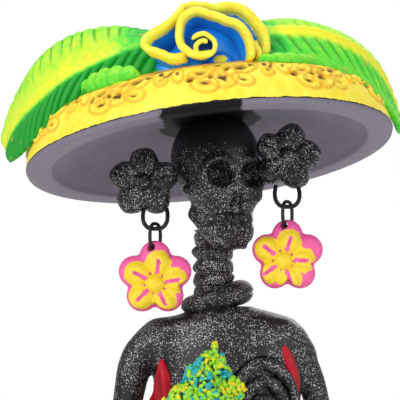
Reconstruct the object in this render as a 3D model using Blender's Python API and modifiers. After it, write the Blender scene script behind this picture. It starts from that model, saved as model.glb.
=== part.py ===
"""A standing catrina of papier-mache on wire: a skeleton lady with a plumed hat, wire earrings and a bouquet.

Lengths are in millimetres and are turned into metres where a mesh is made. Z is up, she faces -Y, and the
underside of the base board is at Z = 0. Left and right are the viewer's.
"""
import math

import bmesh
import bpy
from mathutils import Euler, Matrix, Vector

MM = 0.001
GAP = 0.3                         # clearance between neighbouring pieces

# Driving dimensions
BOARD_RADIUS, BOARD_THICK = 60.0, 5.0
WAIST_Z = 164.0
BODY_X, BODY_Y = 4.2, 2.0         # the middle of the chest
WIRE_RADIUS = 1.5                 # armature wire
HAT_PLACE = (-1.0, 0.0, 273.6)    # centre of the hat's rim
HAT_TIP, HAT_ROLL = 9.2, 7.0     # degrees tipped back, and raised at the right
EAR_WIRE_RADIUS, LINK_WIRE_RADIUS = 0.62, 0.52

for old in list(bpy.data.objects):
    bpy.data.objects.remove(old, do_unlink=True)
PARTS = bpy.data.collections.new("papier_mache_catrina")
CUTTERS = bpy.data.collections.new("cutters")
bpy.context.scene.collection.children.link(PARTS)
bpy.context.scene.collection.children.link(CUTTERS)


# ---- paints ----
def paint(name, colour, roughness, metallic=0.0):
    material = bpy.data.materials.new(name)
    material.use_nodes = True
    shader = material.node_tree.nodes["Principled BSDF"]
    shader.inputs["Base Color"].default_value = (*colour, 1.0)
    shader.inputs["Roughness"].default_value = roughness
    shader.inputs["Metallic"].default_value = metallic
    material.diffuse_color = (*colour, 1.0)
    return material


BONE_BLACK = paint("glitter_black_paint", (0.025, 0.024, 0.027), 0.42)
HAT_YELLOW = paint("yellow_hat_paint", (0.95, 0.72, 0.05), 0.5)
PLUME_GREEN = paint("green_plume_paint", (0.10, 0.55, 0.06), 0.5)
ROSE_BLUE = paint("blue_rose_paint", (0.02, 0.17, 0.55), 0.45)
PENDANT_PINK = paint("pink_pendant_paint", (0.88, 0.08, 0.36), 0.5)
DRESS_RED = paint("red_dress_paint", (0.55, 0.02, 0.05), 0.5)
BOUQUET_MIX = paint("bouquet_paint", (0.55, 0.65, 0.06), 0.55)
STEM_GREEN = paint("green_stem_paint", (0.05, 0.28, 0.05), 0.55)
WIRE_BLACK = paint("black_annealed_wire", (0.03, 0.03, 0.03), 0.4, 1.0)
BOARD_BLACK = paint("black_board_paint", (0.03, 0.03, 0.03), 0.5)


# ---- making pieces ----
def solid(name, bm, material, at=(0, 0, 0), turn=(0, 0, 0), parent=None, sharp=45.0):
    """Makes a bmesh that was drawn in millimetres into a named piece in metres."""
    bmesh.ops.scale(bm, vec=(MM, MM, MM), verts=bm.verts)
    mesh = bpy.data.meshes.new(name)
    bm.to_mesh(mesh)
    bm.free()
    mesh.shade_smooth()
    mesh.set_sharp_from_angle(angle=math.radians(sharp))
    mesh.materials.append(material)
    piece = bpy.data.objects.new(name, mesh)
    PARTS.objects.link(piece)
    piece.location = Vector(at) * MM
    piece.rotation_euler = [math.radians(angle) for angle in turn]
    piece.parent = parent
    return piece


def evaluated_mesh(piece):
    """The piece's mesh with its modifiers applied, in world metres."""
    bpy.context.view_layer.update()
    depsgraph = bpy.context.evaluated_depsgraph_get()
    mesh = bpy.data.meshes.new_from_object(piece.evaluated_get(depsgraph))
    mesh.transform(piece.matrix_world)
    return mesh


def grown_copy(piece, by=GAP):
    """A cutter: the piece grown by the clearance."""
    bm = bmesh.new()
    bm.from_mesh(evaluated_mesh(piece))
    bmesh.ops.remove_doubles(bm, verts=bm.verts, dist=0.00001)
    bm.normal_update()
    moves = [vert.normal * vert.calc_shell_factor() * by * MM for vert in bm.verts]
    for vert, move in zip(bm.verts, moves):
        vert.co += move
    mesh = bpy.data.meshes.new(piece.name + "_grown")
    bm.to_mesh(mesh)
    bm.free()
    return cutter(mesh)


def cutter(mesh):
    tool = bpy.data.objects.new("cut_" + mesh.name, mesh)
    CUTTERS.objects.link(tool)
    tool.hide_render = True
    tool.display_type = "WIRE"
    return tool


def cut(piece, *tools):
    for tool in tools:
        modifier = piece.modifiers.new("clear_" + tool.name, "BOOLEAN")
        modifier.operation = "DIFFERENCE"
        modifier.solver = "EXACT"
        modifier.object = tool


def rod_cutter(name, radius, start, end):
    """A straight round cutter between two points."""
    start, end = Vector(start), Vector(end)
    bm = bmesh.new()
    bmesh.ops.create_cone(bm, cap_ends=True, segments=20, radius1=radius, radius2=radius,
                          depth=(end - start).length)
    turn = Vector((0, 0, 1)).rotation_difference(end - start).to_matrix().to_4x4()
    bmesh.ops.transform(bm, matrix=Matrix.Translation((start + end) / 2) @ turn, verts=bm.verts)
    bmesh.ops.scale(bm, vec=(MM, MM, MM), verts=bm.verts)
    mesh = bpy.data.meshes.new(name)
    bm.to_mesh(mesh)
    bm.free()
    return cutter(mesh)


def turned(name, profile, material, steps=40, parent=None, at=(0, 0, 0), turn=(0, 0, 0)):
    """A lathe-like shape: the profile of (radius, height) runs down the outer side."""
    bm = bmesh.new()
    verts = [bm.verts.new((radius, 0, height)) for radius, height in profile]
    closed = profile[0][0] > 0
    for start, end in zip(verts, verts[1:] + verts[:1] * closed):
        bm.edges.new((start, end))
    piece = solid(name, bm, material, at=at, turn=turn, parent=parent)
    screw = piece.modifiers.new("turn", "SCREW")
    screw.steps = screw.render_steps = steps
    screw.use_merge_vertices = True
    screw.merge_threshold = 0.00001
    screw.use_smooth_shade = True
    return piece


def tube(name, points, radii, material, sides=2, cyclic=False, at=(0, 0, 0), turn=(0, 0, 0), parent=None):
    """A wire or limb: a bevelled curve through the points, made a mesh with welded caps."""
    curve = bpy.data.curves.new(name, "CURVE")
    curve.dimensions = "3D"
    curve.bevel_depth = MM
    curve.bevel_resolution = sides
    curve.use_fill_caps = not cyclic
    spline = curve.splines.new("POLY")
    spline.points.add(len(points) - 1)
    spline.use_cyclic_u = cyclic
    for bead, place, radius in zip(spline.points, points, radii):
        bead.co = (*(Vector(place) * MM), 1.0)
        bead.radius = radius
    guide = bpy.data.objects.new(name + "_guide", curve)
    CUTTERS.objects.link(guide)
    bm = bmesh.new()
    bm.from_mesh(evaluated_mesh(guide))
    bmesh.ops.remove_doubles(bm, verts=bm.verts, dist=0.000001)
    bmesh.ops.recalc_face_normals(bm, faces=bm.faces)
    bmesh.ops.scale(bm, vec=(1 / MM,) * 3, verts=bm.verts)
    bpy.data.objects.remove(guide, do_unlink=True)
    return solid(name, bm, material, at=at, turn=turn, parent=parent)


def smooth_path(stations, steps):
    """Points along a smooth curve through the stations (Catmull-Rom), each station a tuple."""
    ends = [stations[0], *stations, stations[-1]]
    path = []
    for a, b, c, d in zip(ends, ends[1:], ends[2:], ends[3:]):
        for step in range(steps):
            t = step / steps
            path.append(tuple(
                0.5 * (2 * q + (r - p) * t + (2 * p - 5 * q + 4 * r - s) * t * t
                       + (3 * q - p - 3 * r + s) * t ** 3)
                for p, q, r, s in zip(a, b, c, d)))
    return [*path, tuple(stations[-1])]


def loft(rings):
    """A closed skin over rings of equal length, capped at both ends."""
    bm = bmesh.new()
    loops = [[bm.verts.new(point) for point in ring] for ring in rings]
    for low, high in zip(loops, loops[1:]):
        for i, vert in enumerate(low):
            j = (i + 1) % len(low)
            bm.faces.new((vert, low[j], high[j], high[i]))
    bm.faces.new(loops[0][::-1])
    bm.faces.new(loops[-1])
    bmesh.ops.recalc_face_normals(bm, faces=bm.faces)
    return bm


def sheet(rows, thick, name, material, parent):
    """An open curved sheet given as rows of points, thickened behind its face."""
    bm = bmesh.new()
    grid = [[bm.verts.new(point) for point in row] for row in rows]
    for low, high in zip(grid, grid[1:]):
        for i in range(len(low) - 1):
            bm.faces.new((low[i], low[i + 1], high[i + 1], high[i]))
    piece = solid(name, bm, material, parent=parent)
    wall = piece.modifiers.new("wall", "SOLIDIFY")
    wall.thickness = thick * MM
    wall.offset = -1.0
    wall.use_even_offset = True
    return piece


def mix(a, b, t):
    return a + (b - a) * t


def between(stations, key):
    """The row of values at a key, worked out from rows of (key, value, ...)."""
    for low, high in zip(stations, stations[1:]):
        if key <= high[0]:
            t = (key - low[0]) / (high[0] - low[0])
            return [mix(a, b, t) for a, b in zip(low[1:], high[1:])]
    return list(stations[-1][1:])


# ---- base board, armature wire and skirt ----
SKIRT = [(13.0, WAIST_Z), (15.5, 157), (20, 143), (27, 119), (36, 85), (46, 50), (54, 20),
         (57, BOARD_THICK + GAP)]
SKIRT_WALL = 2.6
turned("base_board", [(0, BOARD_THICK), (BOARD_RADIUS - 1, BOARD_THICK), (BOARD_RADIUS, BOARD_THICK - 1),
                      (BOARD_RADIUS, 1), (BOARD_RADIUS - 1, 0), (0, 0)], BOARD_BLACK, steps=36,
       at=(0, BODY_Y, 0))
turned("skirt_shell", [(WIRE_RADIUS + GAP, WAIST_Z), *SKIRT,
                       *[(r - SKIRT_WALL, z) for r, z in SKIRT[:1:-1]],
                       (13.0, WAIST_Z - 6), (WIRE_RADIUS + GAP, WAIST_Z - 6)], DRESS_RED, steps=36,
       at=(0, BODY_Y, 0))


def skirt_band(name, low, high, swell):
    """A ruffle laid round the skirt between two heights, standing out most at its hem."""
    def side(z):
        return between([(-z0, r) for r, z0 in SKIRT], -z)[0] + 0.5
    middle = (low + high) / 2
    turned(name, [(side(high) + 1.2, high), (side(middle) + 1 + swell / 2, middle),
                  (side(low) + swell, low + 1), (side(low) + swell - 1, low), (side(low), low),
                  (side(high), high)], DRESS_RED, steps=36, at=(0, BODY_Y, 0))


skirt_band("skirt_ruffle_lower", 6.0, 26.0, 4.0)
skirt_band("skirt_ruffle_upper", 52.0, 72.0, 4.0)
turned("waist_sash", [(14.2, 7), (15.6, 5.5), (16.2, 3.5), (15.6, 1.6), (14.2, GAP), (13.0, 1.6), (12.9, 6)],
       DRESS_RED, at=(BODY_X, BODY_Y, WAIST_Z))
tube("armature_wire", [(0, BODY_Y, BOARD_THICK + GAP), (0, BODY_Y, 272)], [WIRE_RADIUS] * 2, WIRE_BLACK)
BORE = rod_cutter("wire_bore", WIRE_RADIUS + GAP, (0, BODY_Y, WAIST_Z - 12), (0, BODY_Y, 272 + GAP))


# ---- torso, bodice and ribs ----
# height, half width, half depth
CHEST = [(WAIST_Z + GAP, 12.0, 9.4), (173, 13.4, 9.8), (186, 18.6, 11.5), (200, 21.2, 13), (211, 22.2, 13),
         (218, 22.6, 12), (222.5, 21.0, 10.8), (225.5, 17.6, 9.2), (227.8, 12, 8), (229.2, 7, 6.5)]
CHEST_SIDES = 32


def on_chest(z, angle, lift=0.0):
    """A point on the chest: angle in degrees from the front, positive to the right."""
    half_width, half_depth = between(CHEST, z)
    turn = math.radians(angle)
    return Vector((BODY_X + (half_width + lift) * math.sin(turn),
                   BODY_Y - (half_depth + lift) * math.cos(turn), z))


torso = solid("torso", loft([[on_chest(z, 360 * i / CHEST_SIDES) for i in range(CHEST_SIDES)]
                             for z, *_ in CHEST]), BONE_BLACK)
cut(torso, BORE)

# The bodice runs from its front edge at the left round the back to behind the right arm, and is scooped
# under both arms
BODICE_RIGHT, BODICE_LEFT = 120.0, 312.0
BODICE_HEM, BODICE_TOP, ARMHOLE_Z = 173.0, 214.0, 203.5
CLOTH_FOOT, CLOTH_FACE = 0.6, 2.0        # how far its inner and outer faces stand off the chest


def bodice_top(angle):
    """Height of the top edge, which dips in a scoop under each arm."""
    away = min(abs(angle - 90), abs(angle - 270)) / 30
    return mix(ARMHOLE_Z, BODICE_TOP, min(1.0, away ** 3))


rings = []
angles = [mix(BODICE_RIGHT, BODICE_LEFT, i / 24) for i in range(25)]
for level in range(8):
    heights = [mix(BODICE_HEM, bodice_top(a), level / 7) for a in angles]
    inner = [on_chest(z, a, CLOTH_FOOT) for z, a in zip(heights, angles)]
    outer = [on_chest(z, a, CLOTH_FACE) for z, a in zip(heights, angles)]
    rings.append([*inner, *outer[::-1]])
solid("dress_bodice", loft(rings), DRESS_RED)

# The part of the dress that shows between the ribs and the right arm
PANEL_START, PANEL_END, PANEL_HALF = (48.0, 216.5), (66.0, 205.5), 1.6
rings = []
for step in range(10):
    t = step / 9
    angle, z = mix(PANEL_START[0], PANEL_END[0], t), mix(PANEL_START[1], PANEL_END[1], t)
    half = PANEL_HALF * max(0.25, math.sin(math.pi * mix(0.08, 0.92, t)) ** 0.5)
    aside = half * 2.2                   # degrees round the chest for that width
    rings.append([on_chest(z - half * 0.4, angle - aside, CLOTH_FOOT),
                  on_chest(z + half * 0.4, angle + aside, CLOTH_FOOT),
                  on_chest(z + half * 0.3, angle + aside * 0.7, CLOTH_FACE),
                  on_chest(z - half * 0.3, angle - aside * 0.7, CLOTH_FACE)])
solid("dress_panel_right", loft(rings), DRESS_RED)

# The ribs are nested arches on the right of the chest: half width and height of each, about one middle
RIB_RADIUS = 1.3
RIB_MIDDLE = (14.4, 197.0)
RIBS = {"rib_upper": (9.6, 15.6), "rib_middle": (6.4, 10.6), "rib_lower": (3.2, 5.6)}
for name, (half_width, tall) in RIBS.items():
    arc = []
    for step in range(15):
        turn = math.radians(mix(168, -12, step / 14))
        x, z = RIB_MIDDLE[0] + half_width * math.cos(turn), RIB_MIDDLE[1] + tall * math.sin(turn)
        round_chest = math.degrees(math.asin((x - BODY_X) / between(CHEST, z)[0]))
        arc.append(on_chest(z, round_chest, RIB_RADIUS + 0.6))
    tube(name, arc, [RIB_RADIUS] * len(arc), BONE_BLACK)


# ---- bouquet, hands and arms ----
STEM_X, STEM_Y, GRIP_Z = -6.0, -24.5, 174.0
tube("bouquet_stems", [(STEM_X - 2.5, STEM_Y + 0.5, 150), (STEM_X - 1, STEM_Y, 163), (STEM_X, STEM_Y, GRIP_Z),
                       (STEM_X + 0.3, STEM_Y, 180.4)], [3.4, 2.9, 2.8, 3.6], STEM_GREEN, sides=3)
# height, radius of the mass of flowers
BLOOM_FOOT = 181.0
BLOOM = [(BLOOM_FOOT, 4), (184, 8), (189, 11), (195, 12), (201, 11.4), (207, 8.6), (212, 5.6), (216, 2.6),
         (218, 0.8)]
BLOOM_LEAN, BLOOM_DEPTH, BLOOM_SIDES = 0.16, 0.78, 20
rings = []
for z, radius in BLOOM:
    middle = STEM_X + (z - BLOOM_FOOT) * BLOOM_LEAN
    turns = [math.tau * i / BLOOM_SIDES for i in range(BLOOM_SIDES)]
    rings.append([(middle + radius * math.cos(a), STEM_Y + GAP + BLOOM_DEPTH * radius * math.sin(a), z)
                  for a in turns])
solid("bouquet_flowers", loft(rings), BOUQUET_MIX)

HANDS = {"left": (STEM_X - 7.6, STEM_Y, GRIP_Z), "right": (STEM_X + 7.6, STEM_Y, GRIP_Z)}
# stations of x, y, z and radius down each arm
UPPER_ARMS = {"left": [(-18.5, 2.5, 219.5, 4.6), (-22.8, 2.5, 213.5, 4.9), (-24.8, 2.5, 204, 4.5),
                       (-26.8, 2.5, 190, 3.8), (-28.5, 2, 180, 3.5)],
              "right": [(23.0, 4, 219.5, 4.5), (26.3, 4.5, 212, 4.2), (29.8, 5, 204, 3.8),
                        (32.3, 4, 190, 3.6), (32.6, 2, 180, 3.5)]}
FOREARMS = {"left": [(-28.5, 2, 178.5, 3.5), (-28.4, -0.6, 174.8, 3.5), (-26, -8, 173.5, 3.5),
                     (-20.5, -17, 173.5, 3.0), (-14.5, -23, 174, 2.6)],
            "right": [(32.6, 2, 178.5, 3.5), (32.0, -1.0, 174.8, 3.5), (26, -9, 173.5, 3.5),
                      (14, -18.5, 173.5, 3.0), (3.5, -23.5, 174, 2.6)]}


def limb(name, stations):
    """A tapered round limb through stations of (x, y, z, radius)."""
    path = smooth_path(stations, 3)
    return tube(name, [spot[:3] for spot in path], [spot[3] for spot in path], BONE_BLACK, sides=3)


torso_grown = grown_copy(torso)
for word, side in (("left", -1), ("right", 1)):
    palm = bmesh.new()
    bmesh.ops.create_uvsphere(palm, u_segments=16, v_segments=10, radius=1.0)
    bmesh.ops.scale(palm, vec=(4.2, 4.6, 6.2), verts=palm.verts)
    hand = solid("hand_" + word, palm, BONE_BLACK, at=HANDS[word], turn=(0, side * 8, 0))
    upper = limb("upper_arm_" + word, UPPER_ARMS[word])
    cut(upper, torso_grown)
    forearm = limb("forearm_" + word, FOREARMS[word])
    cut(forearm, grown_copy(upper), grown_copy(hand))


# ---- skull, neck and roll ----
HEAD_PLACE, HEAD_TURN = (1.0, 1.5, 268.0), 28.0
# height, half width, front, back, all about the middle of the head
HEAD = [(-23, 5.6, -12.2, -5), (-21.5, 7.4, -13.6, -3), (-18, 8.6, -14.0, -0.5), (-13, 9.6, -13.8, 4),
        (-8, 11.0, -13.4, 9), (-3, 12.9, -13.2, 12.6), (2, 13.4, -13.0, 14.6), (8, 13.5, -13.4, 15),
        (13, 12.0, -12, 13.6), (17, 8.6, -8.8, 10.6), (19.4, 3.8, -4, 5.5)]
rings = []
for z, half_width, front, back in HEAD:
    ring = []
    for i in range(24):
        turn = math.tau * i / 24
        middle, half_depth = (front + back) / 2, (back - front) / 2
        ring.append((half_width * math.sin(turn), middle - half_depth * math.cos(turn), z))
    rings.append(ring)
skull = solid("skull", loft(rings), BONE_BLACK, at=HEAD_PLACE, turn=(0, 0, HEAD_TURN))

NECK_TOP, NECK_FOOT, NECK_RING = 252.0, 227.0, 3.8
neck_profile = [(WIRE_RADIUS + GAP, NECK_TOP)]
for ring in range(6):
    top = NECK_TOP - ring * NECK_RING
    neck_profile += [(5.3, top), (6.0, top - 0.3 * NECK_RING), (6.0, top - 0.7 * NECK_RING)]
neck = turned("neck_column", [*neck_profile, (5.3, NECK_FOOT), (WIRE_RADIUS + GAP, NECK_FOOT)],
              BONE_BLACK, steps=24, at=(0, BODY_Y, 0))
roll = bmesh.new()
rings = []
for i in range(28):
    turn = math.tau * i / 28
    rings.append([((7.6 + 3.4 * math.cos(a)) * math.cos(turn), (7.0 + 3.4 * math.cos(a)) * math.sin(turn),
                   3.5 * math.sin(a)) for a in (math.tau * k / 12 for k in range(12))])
loops = [[roll.verts.new(point) for point in ring] for ring in rings]
for i, low in enumerate(loops):
    high = loops[(i + 1) % 28]
    for k in range(12):
        roll.faces.new((low[k], low[(k + 1) % 12], high[(k + 1) % 12], high[k]))
bmesh.ops.recalc_face_normals(roll, faces=roll.faces)
roll = solid("neck_roll", roll, BONE_BLACK, at=(0.8, BODY_Y, 231.4), turn=(0, -16, 0))
cut(roll, torso_grown, grown_copy(neck))


# ---- hat ----
hat_frame = bpy.data.objects.new("hat_frame", None)
PARTS.objects.link(hat_frame)
hat_frame.location = Vector(HAT_PLACE) * MM
hat_frame.rotation_euler = Euler((math.radians(-HAT_TIP), math.radians(-HAT_ROLL), 0))
# radius and height above the rim, from the middle of the crown out to the rim
HAT_TOP = [(0, 33), (9, 32.2), (17, 29), (22, 23.5), (25.5, 17.5), (30, 15.2), (40, 14.8), (45.5, 14.2),
           (49.3, 12.2), (52, 8.6), (53.8, 4), (54.4, 0.7)]
HAT_UNDER = [(54, -0.3), (52.5, -0.7), (47.5, -0.4), (44.5, 1.3), (38, 5), (28, 8.2), (14, 10), (0, 10.4)]
HAT_STEPS = 40
hat = turned("hat_brim", HAT_TOP + HAT_UNDER, HAT_YELLOW, steps=HAT_STEPS, parent=hat_frame)
hat_grown = grown_copy(hat)


def on_hat(angle, run, lift):
    """A point over the hat's top: degrees from the front, run in from the rim, height off the surface."""
    profile = HAT_TOP[::-1]
    for (r0, h0), (r1, h1) in zip(profile, profile[1:]):
        length = math.hypot(r1 - r0, h1 - h0)
        if run <= length:
            break
        run -= length
    t = run / length
    out, up = (h1 - h0) / length, (r0 - r1) / length
    radius, height = mix(r0, r1, t) + out * lift, mix(h0, h1, t) + up * lift
    turn = math.radians(angle)
    return Vector((radius * math.sin(turn), -radius * math.cos(turn), height))


BAND_MIDDLE = 7.3                # from the rim to the middle of the relief flowers
FLOWER_RADIUS = 6.6
FIRST_FLOWER, FLOWER_STEP = -27.0, 360 / 11
BARE = (3, 10)                   # the two places that the plumes cover
places = [step for step in range(11) if step not in BARE]
for number, step in enumerate(places):
    middle = FIRST_FLOWER + step * FLOWER_STEP
    rings = []
    for scale, lift in ((1.0, 0.45), (1.0, 1.1), (0.8, 1.9), (0.35, 2.2)):
        ring = []
        for i in range(20):
            a = math.tau * i / 20
            reach = FLOWER_RADIUS * scale * (0.86 + 0.14 * math.cos(5 * a))
            ring.append(on_hat(middle + math.degrees(reach * math.cos(a) * 1.25 / 52),
                               BAND_MIDDLE + reach * math.sin(a) * 0.72, lift))
        rings.append(ring)
    solid(f"hat_flower_{number + 1:02d}", loft(rings), HAT_YELLOW, parent=hat_frame)

# plume stations: degrees round from the front, then radius and height of upper edge, mid-rib and lower edge
PLUMES = {-1: ("plume_left", [(28, 33, 31.5, 41, 23, 44.5, 18.8), (39, 36.5, 34, 44.5, 21.8, 47, 17.5),
                              (52, 42, 34.3, 48, 19, 50.3, 14.5), (64, 47, 32.5, 51.6, 16, 53.5, 10.5),
                              (76, 51.5, 28.5, 55, 12, 56.5, 6), (85, 56, 21.5, 57.5, 9.5, 58.2, 4),
                              (92, 60, 12.5, 59.8, 7, 59.2, 3)]),
          1: ("plume_right", [(31, 35, 30, 43, 22, 46, 18), (45, 37, 30.8, 45, 21.6, 48, 16.5),
                              (58, 40.5, 30, 48.2, 20.4, 51, 13.5), (70, 45, 27.6, 51.6, 17.4, 54.5, 9),
                              (80, 50, 23, 54, 12.4, 56.3, 5), (87, 54, 14, 55.5, 8, 56.8, 3),
                              (92, 56.5, 5, 56.6, 4, 57, 2)])}
PLUME_THICK = 2.6
for side, (name, stations) in PLUMES.items():
    rows = []
    for step in range(15):
        angle = mix(stations[0][0], stations[-1][0], step / 14)
        upper_r, upper_h, rib_r, rib_h, lower_r, lower_h = between(stations, angle)
        row = []
        for k in range(7):
            across = k / 3 - 1
            reach = abs(across)
            end_r, end_h = (upper_r, upper_h) if across < 0 else (lower_r, lower_h)
            swell = 1.6 * math.sin(math.pi * reach) * (1.0 if across < 0 else 0.3)
            radius, height = mix(rib_r, end_r, reach) + swell, mix(rib_h, end_h, reach) + swell * 0.3
            turn = math.radians(side * angle)
            row.append((radius * math.sin(turn), -radius * math.cos(turn), height))
        rows.append(row if side > 0 else row[::-1])
    cut(sheet(rows, PLUME_THICK, name, PLUME_GREEN, hat_frame), hat_grown)

LEAF_HALF = 1.9
for word, side in (("left", -1), ("right", 1)):
    rings = []
    for step in range(10):
        t = step / 9
        angle, run = side * mix(21, 42, t), mix(15.6, 14.4, t)
        half = LEAF_HALF * (0.35 + 0.65 * math.sin(math.pi * min(1, 0.12 + t * 0.85)))
        rings.append([on_hat(angle, run - half, 0.6), on_hat(angle, run + half, 0.6),
                      on_hat(angle, run + half * 0.7, 1.5), on_hat(angle, run, 1.9),
                      on_hat(angle, run - half * 0.7, 1.5)])
    solid("hat_leaf_" + word, loft(rings), PLUME_GREEN, parent=hat_frame)


# ---- rose ----
rose_frame = bpy.data.objects.new("rose_frame", None)
PARTS.objects.link(rose_frame)
rose_frame.parent = hat_frame
rose_frame.location = Vector((1.2, -42.0, 19.8)) * MM
rose_frame.rotation_euler = Euler((math.radians(78), 0, 0))
PETAL_THICK = 1.8


def petal(name, first, last, inner, outer, back, front, cup=0.0):
    """A petal as a sector of a bowl: degrees round, radii and heights of its foot and rim."""
    rows = []
    for i in range(11):
        t = i / 10
        turn = math.radians(mix(first, last, t))
        crown = math.sin(math.pi * mix(0.14, 0.86, t)) ** 0.5
        row = []
        for k in range(6):
            s = k / 5
            radius = mix(inner, mix(inner, outer, crown), s ** 0.8)
            height = mix(back, front, s ** 1.6) - cup * s * s
            row.append((radius * math.cos(turn), radius * math.sin(turn), height))
        rows.append(row)
    return sheet(rows, PETAL_THICK, name, ROSE_BLUE, rose_frame)


for name, shape in {"rose_petal_left": (100, 232, 9.6, 16.8, 1.2, 4.4),
                    "rose_petal_right": (-52, 80, 9.6, 18.8, 1.2, 4.4),
                    "rose_petal_back": (46, 134, 10.5, 19.0, -4.2, -1.2),
                    "rose_petal_wrap": (15, 345, 5.6, 8.2, 1.2, 8.0)}.items():
    cut(petal(name, *shape), hat_grown)
turned("rose_heart", [(0, 10.4), (2.6, 9.8), (3.7, 8.2), (3.9, 5), (3.2, 1.2), (0, 1.2)], ROSE_BLUE, steps=20,
       parent=rose_frame)
rose_base = turned("rose_base", [(0, -0.8), (8.0, -0.8), (8.6, -1.6), (7.6, -5), (5, -12), (4.5, -24),
                                 (0, -24)], ROSE_BLUE, steps=20, parent=rose_frame)
cut(rose_base, hat_grown)


# ---- head trimmed under the hat, ear flowers and earrings ----
cut(skull, hat_grown, BORE)
skull_grown = grown_copy(skull)
cut(neck, skull_grown, torso_grown)


def puffed_flower(radius, half_thick, notch, petals=5, around=35, rings=9):
    """A puffy flower from a ball: petals as lobes of its outline, facing its own +Z."""
    bm = bmesh.new()
    bmesh.ops.create_uvsphere(bm, u_segments=around, v_segments=rings, radius=1.0)
    for vert in bm.verts:
        turn = math.atan2(vert.co.y, vert.co.x) - math.pi / 2
        lobe = 1 - notch * (1 - abs(math.cos(petals * turn / 2)) ** 0.6)
        flat = math.hypot(vert.co.x, vert.co.y)
        vert.co.x *= radius * mix(1, lobe, flat)
        vert.co.y *= radius * mix(1, lobe, flat)
        vert.co.z *= half_thick * mix(1.0, 0.8 + 0.2 * lobe, flat)
    return bm


# ear flower middle, its radius, the staple's middle bar, and how far the flower is turned in its plane
EARS = {"left": ((-20.4, -5.5, 265.2), 10.2, (-17.0, -8.2, 251.6), 0.0),
        "right": ((21.6, -5.5, 272.8), 9.8, (21.4, -8.2, 258.0), 12.0)}
STAPLE_HALF, STAPLE_RISE = 3.6, 6.2
LINK_HALF_WIDE, LINK_HALF_TALL, LINK_TURN = 2.75, 3.6, 32.0
LINK_DROP = LINK_HALF_TALL - LINK_WIRE_RADIUS - GAP - EAR_WIRE_RADIUS
PENDANT_RADIUS, PENDANT_HALF_THICK, HOLE_RADIUS = 10.8, 3.2, 1.0
HOLE_FROM_MIDDLE = 8.6

for word, (middle, radius, bar, spin) in EARS.items():
    flower = solid("ear_flower_" + word, puffed_flower(radius, 3.8, 0.34), BONE_BLACK, at=middle,
                   turn=(90, spin, 0))
    legs = [(-STAPLE_HALF, 1.6, STAPLE_RISE), (-STAPLE_HALF, 0.3, 1.6), (-STAPLE_HALF + 0.5, 0, 0.5),
            (-STAPLE_HALF + 1.4, 0, 0)]
    bend = legs + [(-x, y, z) for x, y, z in legs[::-1]]
    staple = tube("staple_" + word, bend, [EAR_WIRE_RADIUS] * len(bend), WIRE_BLACK, at=bar)
    cut(flower, skull_grown, grown_copy(staple))

    oval = []
    for i in range(28):
        a = math.tau * i / 28
        across = math.copysign(abs(math.cos(a)) ** 0.75, math.cos(a)) * LINK_HALF_WIDE
        tall = math.copysign(abs(math.sin(a)) ** 0.75, math.sin(a)) * LINK_HALF_TALL
        turn = math.radians(LINK_TURN)
        oval.append((across * math.sin(turn), across * math.cos(turn), tall - LINK_DROP))
    tube("earring_link_" + word, oval, [LINK_WIRE_RADIUS] * 28, WIRE_BLACK, cyclic=True, at=bar)

    hook = Vector(bar) - Vector((0, 0, LINK_DROP + LINK_HALF_TALL))
    hanging = puffed_flower(PENDANT_RADIUS, PENDANT_HALF_THICK, 0.30)
    bmesh.ops.translate(hanging, vec=(0, -HOLE_FROM_MIDDLE, 0), verts=hanging.verts)
    pendant = solid("earring_flower_" + word, hanging, PENDANT_PINK, at=hook, turn=(90, 0, 0))
    way = Vector((math.sin(math.radians(LINK_TURN)), math.cos(math.radians(LINK_TURN)), 0)) * 12
    eye = hook + Vector((0, 0, 0.2))
    cut(pendant, rod_cutter("eye_" + word, HOLE_RADIUS, eye - way, eye + way))
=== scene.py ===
"""A standing catrina: a skeleton lady of modelled paste over wire and papier-mache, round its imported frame.

Shapes are worked out in millimetres and turned into metres where a mesh is made. She faces -Y, and left and
right are the viewer's.
"""

import math

import bmesh
import bpy
import numpy as np
from mathutils import Euler, Matrix, Vector, noise


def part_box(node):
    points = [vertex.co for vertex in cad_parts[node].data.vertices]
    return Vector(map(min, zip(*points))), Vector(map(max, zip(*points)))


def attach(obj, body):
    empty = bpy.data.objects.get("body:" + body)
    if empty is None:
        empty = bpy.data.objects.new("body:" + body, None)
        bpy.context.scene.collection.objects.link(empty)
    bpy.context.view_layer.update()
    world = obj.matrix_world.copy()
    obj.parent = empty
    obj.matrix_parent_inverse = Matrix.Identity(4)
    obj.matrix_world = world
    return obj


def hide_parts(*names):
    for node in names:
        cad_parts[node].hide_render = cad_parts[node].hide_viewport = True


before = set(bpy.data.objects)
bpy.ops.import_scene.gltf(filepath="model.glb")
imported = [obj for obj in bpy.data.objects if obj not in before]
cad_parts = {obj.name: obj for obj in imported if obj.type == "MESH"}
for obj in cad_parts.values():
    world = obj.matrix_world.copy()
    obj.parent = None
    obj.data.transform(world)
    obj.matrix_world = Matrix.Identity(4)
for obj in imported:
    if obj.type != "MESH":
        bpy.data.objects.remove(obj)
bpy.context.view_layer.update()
MM = 0.001


# ---- camera and studio ----
# The camera stands before her, a little below the hat's brim and looking slightly up, with a long lens. A big
# soft light hangs at the upper left, weaker ones fill from the right, front, top and back, and a pale floor
# lies under all.
CAMERA_AWAY, CAMERA_RISE, VIEW_WIDTH = 560.0, -4.0, 118.0
brim_low, brim_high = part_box("hat_brim")
AIM = Vector(((brim_low[0] + brim_high[0]) / 2 - 0.0029, 0.0, brim_low[2] - 0.0019))


def toward(place, aim):
    """The turn that points a camera or a lamp from its place at the aim."""
    return (aim - place).to_track_quat("-Z", "Y").to_euler()


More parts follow.
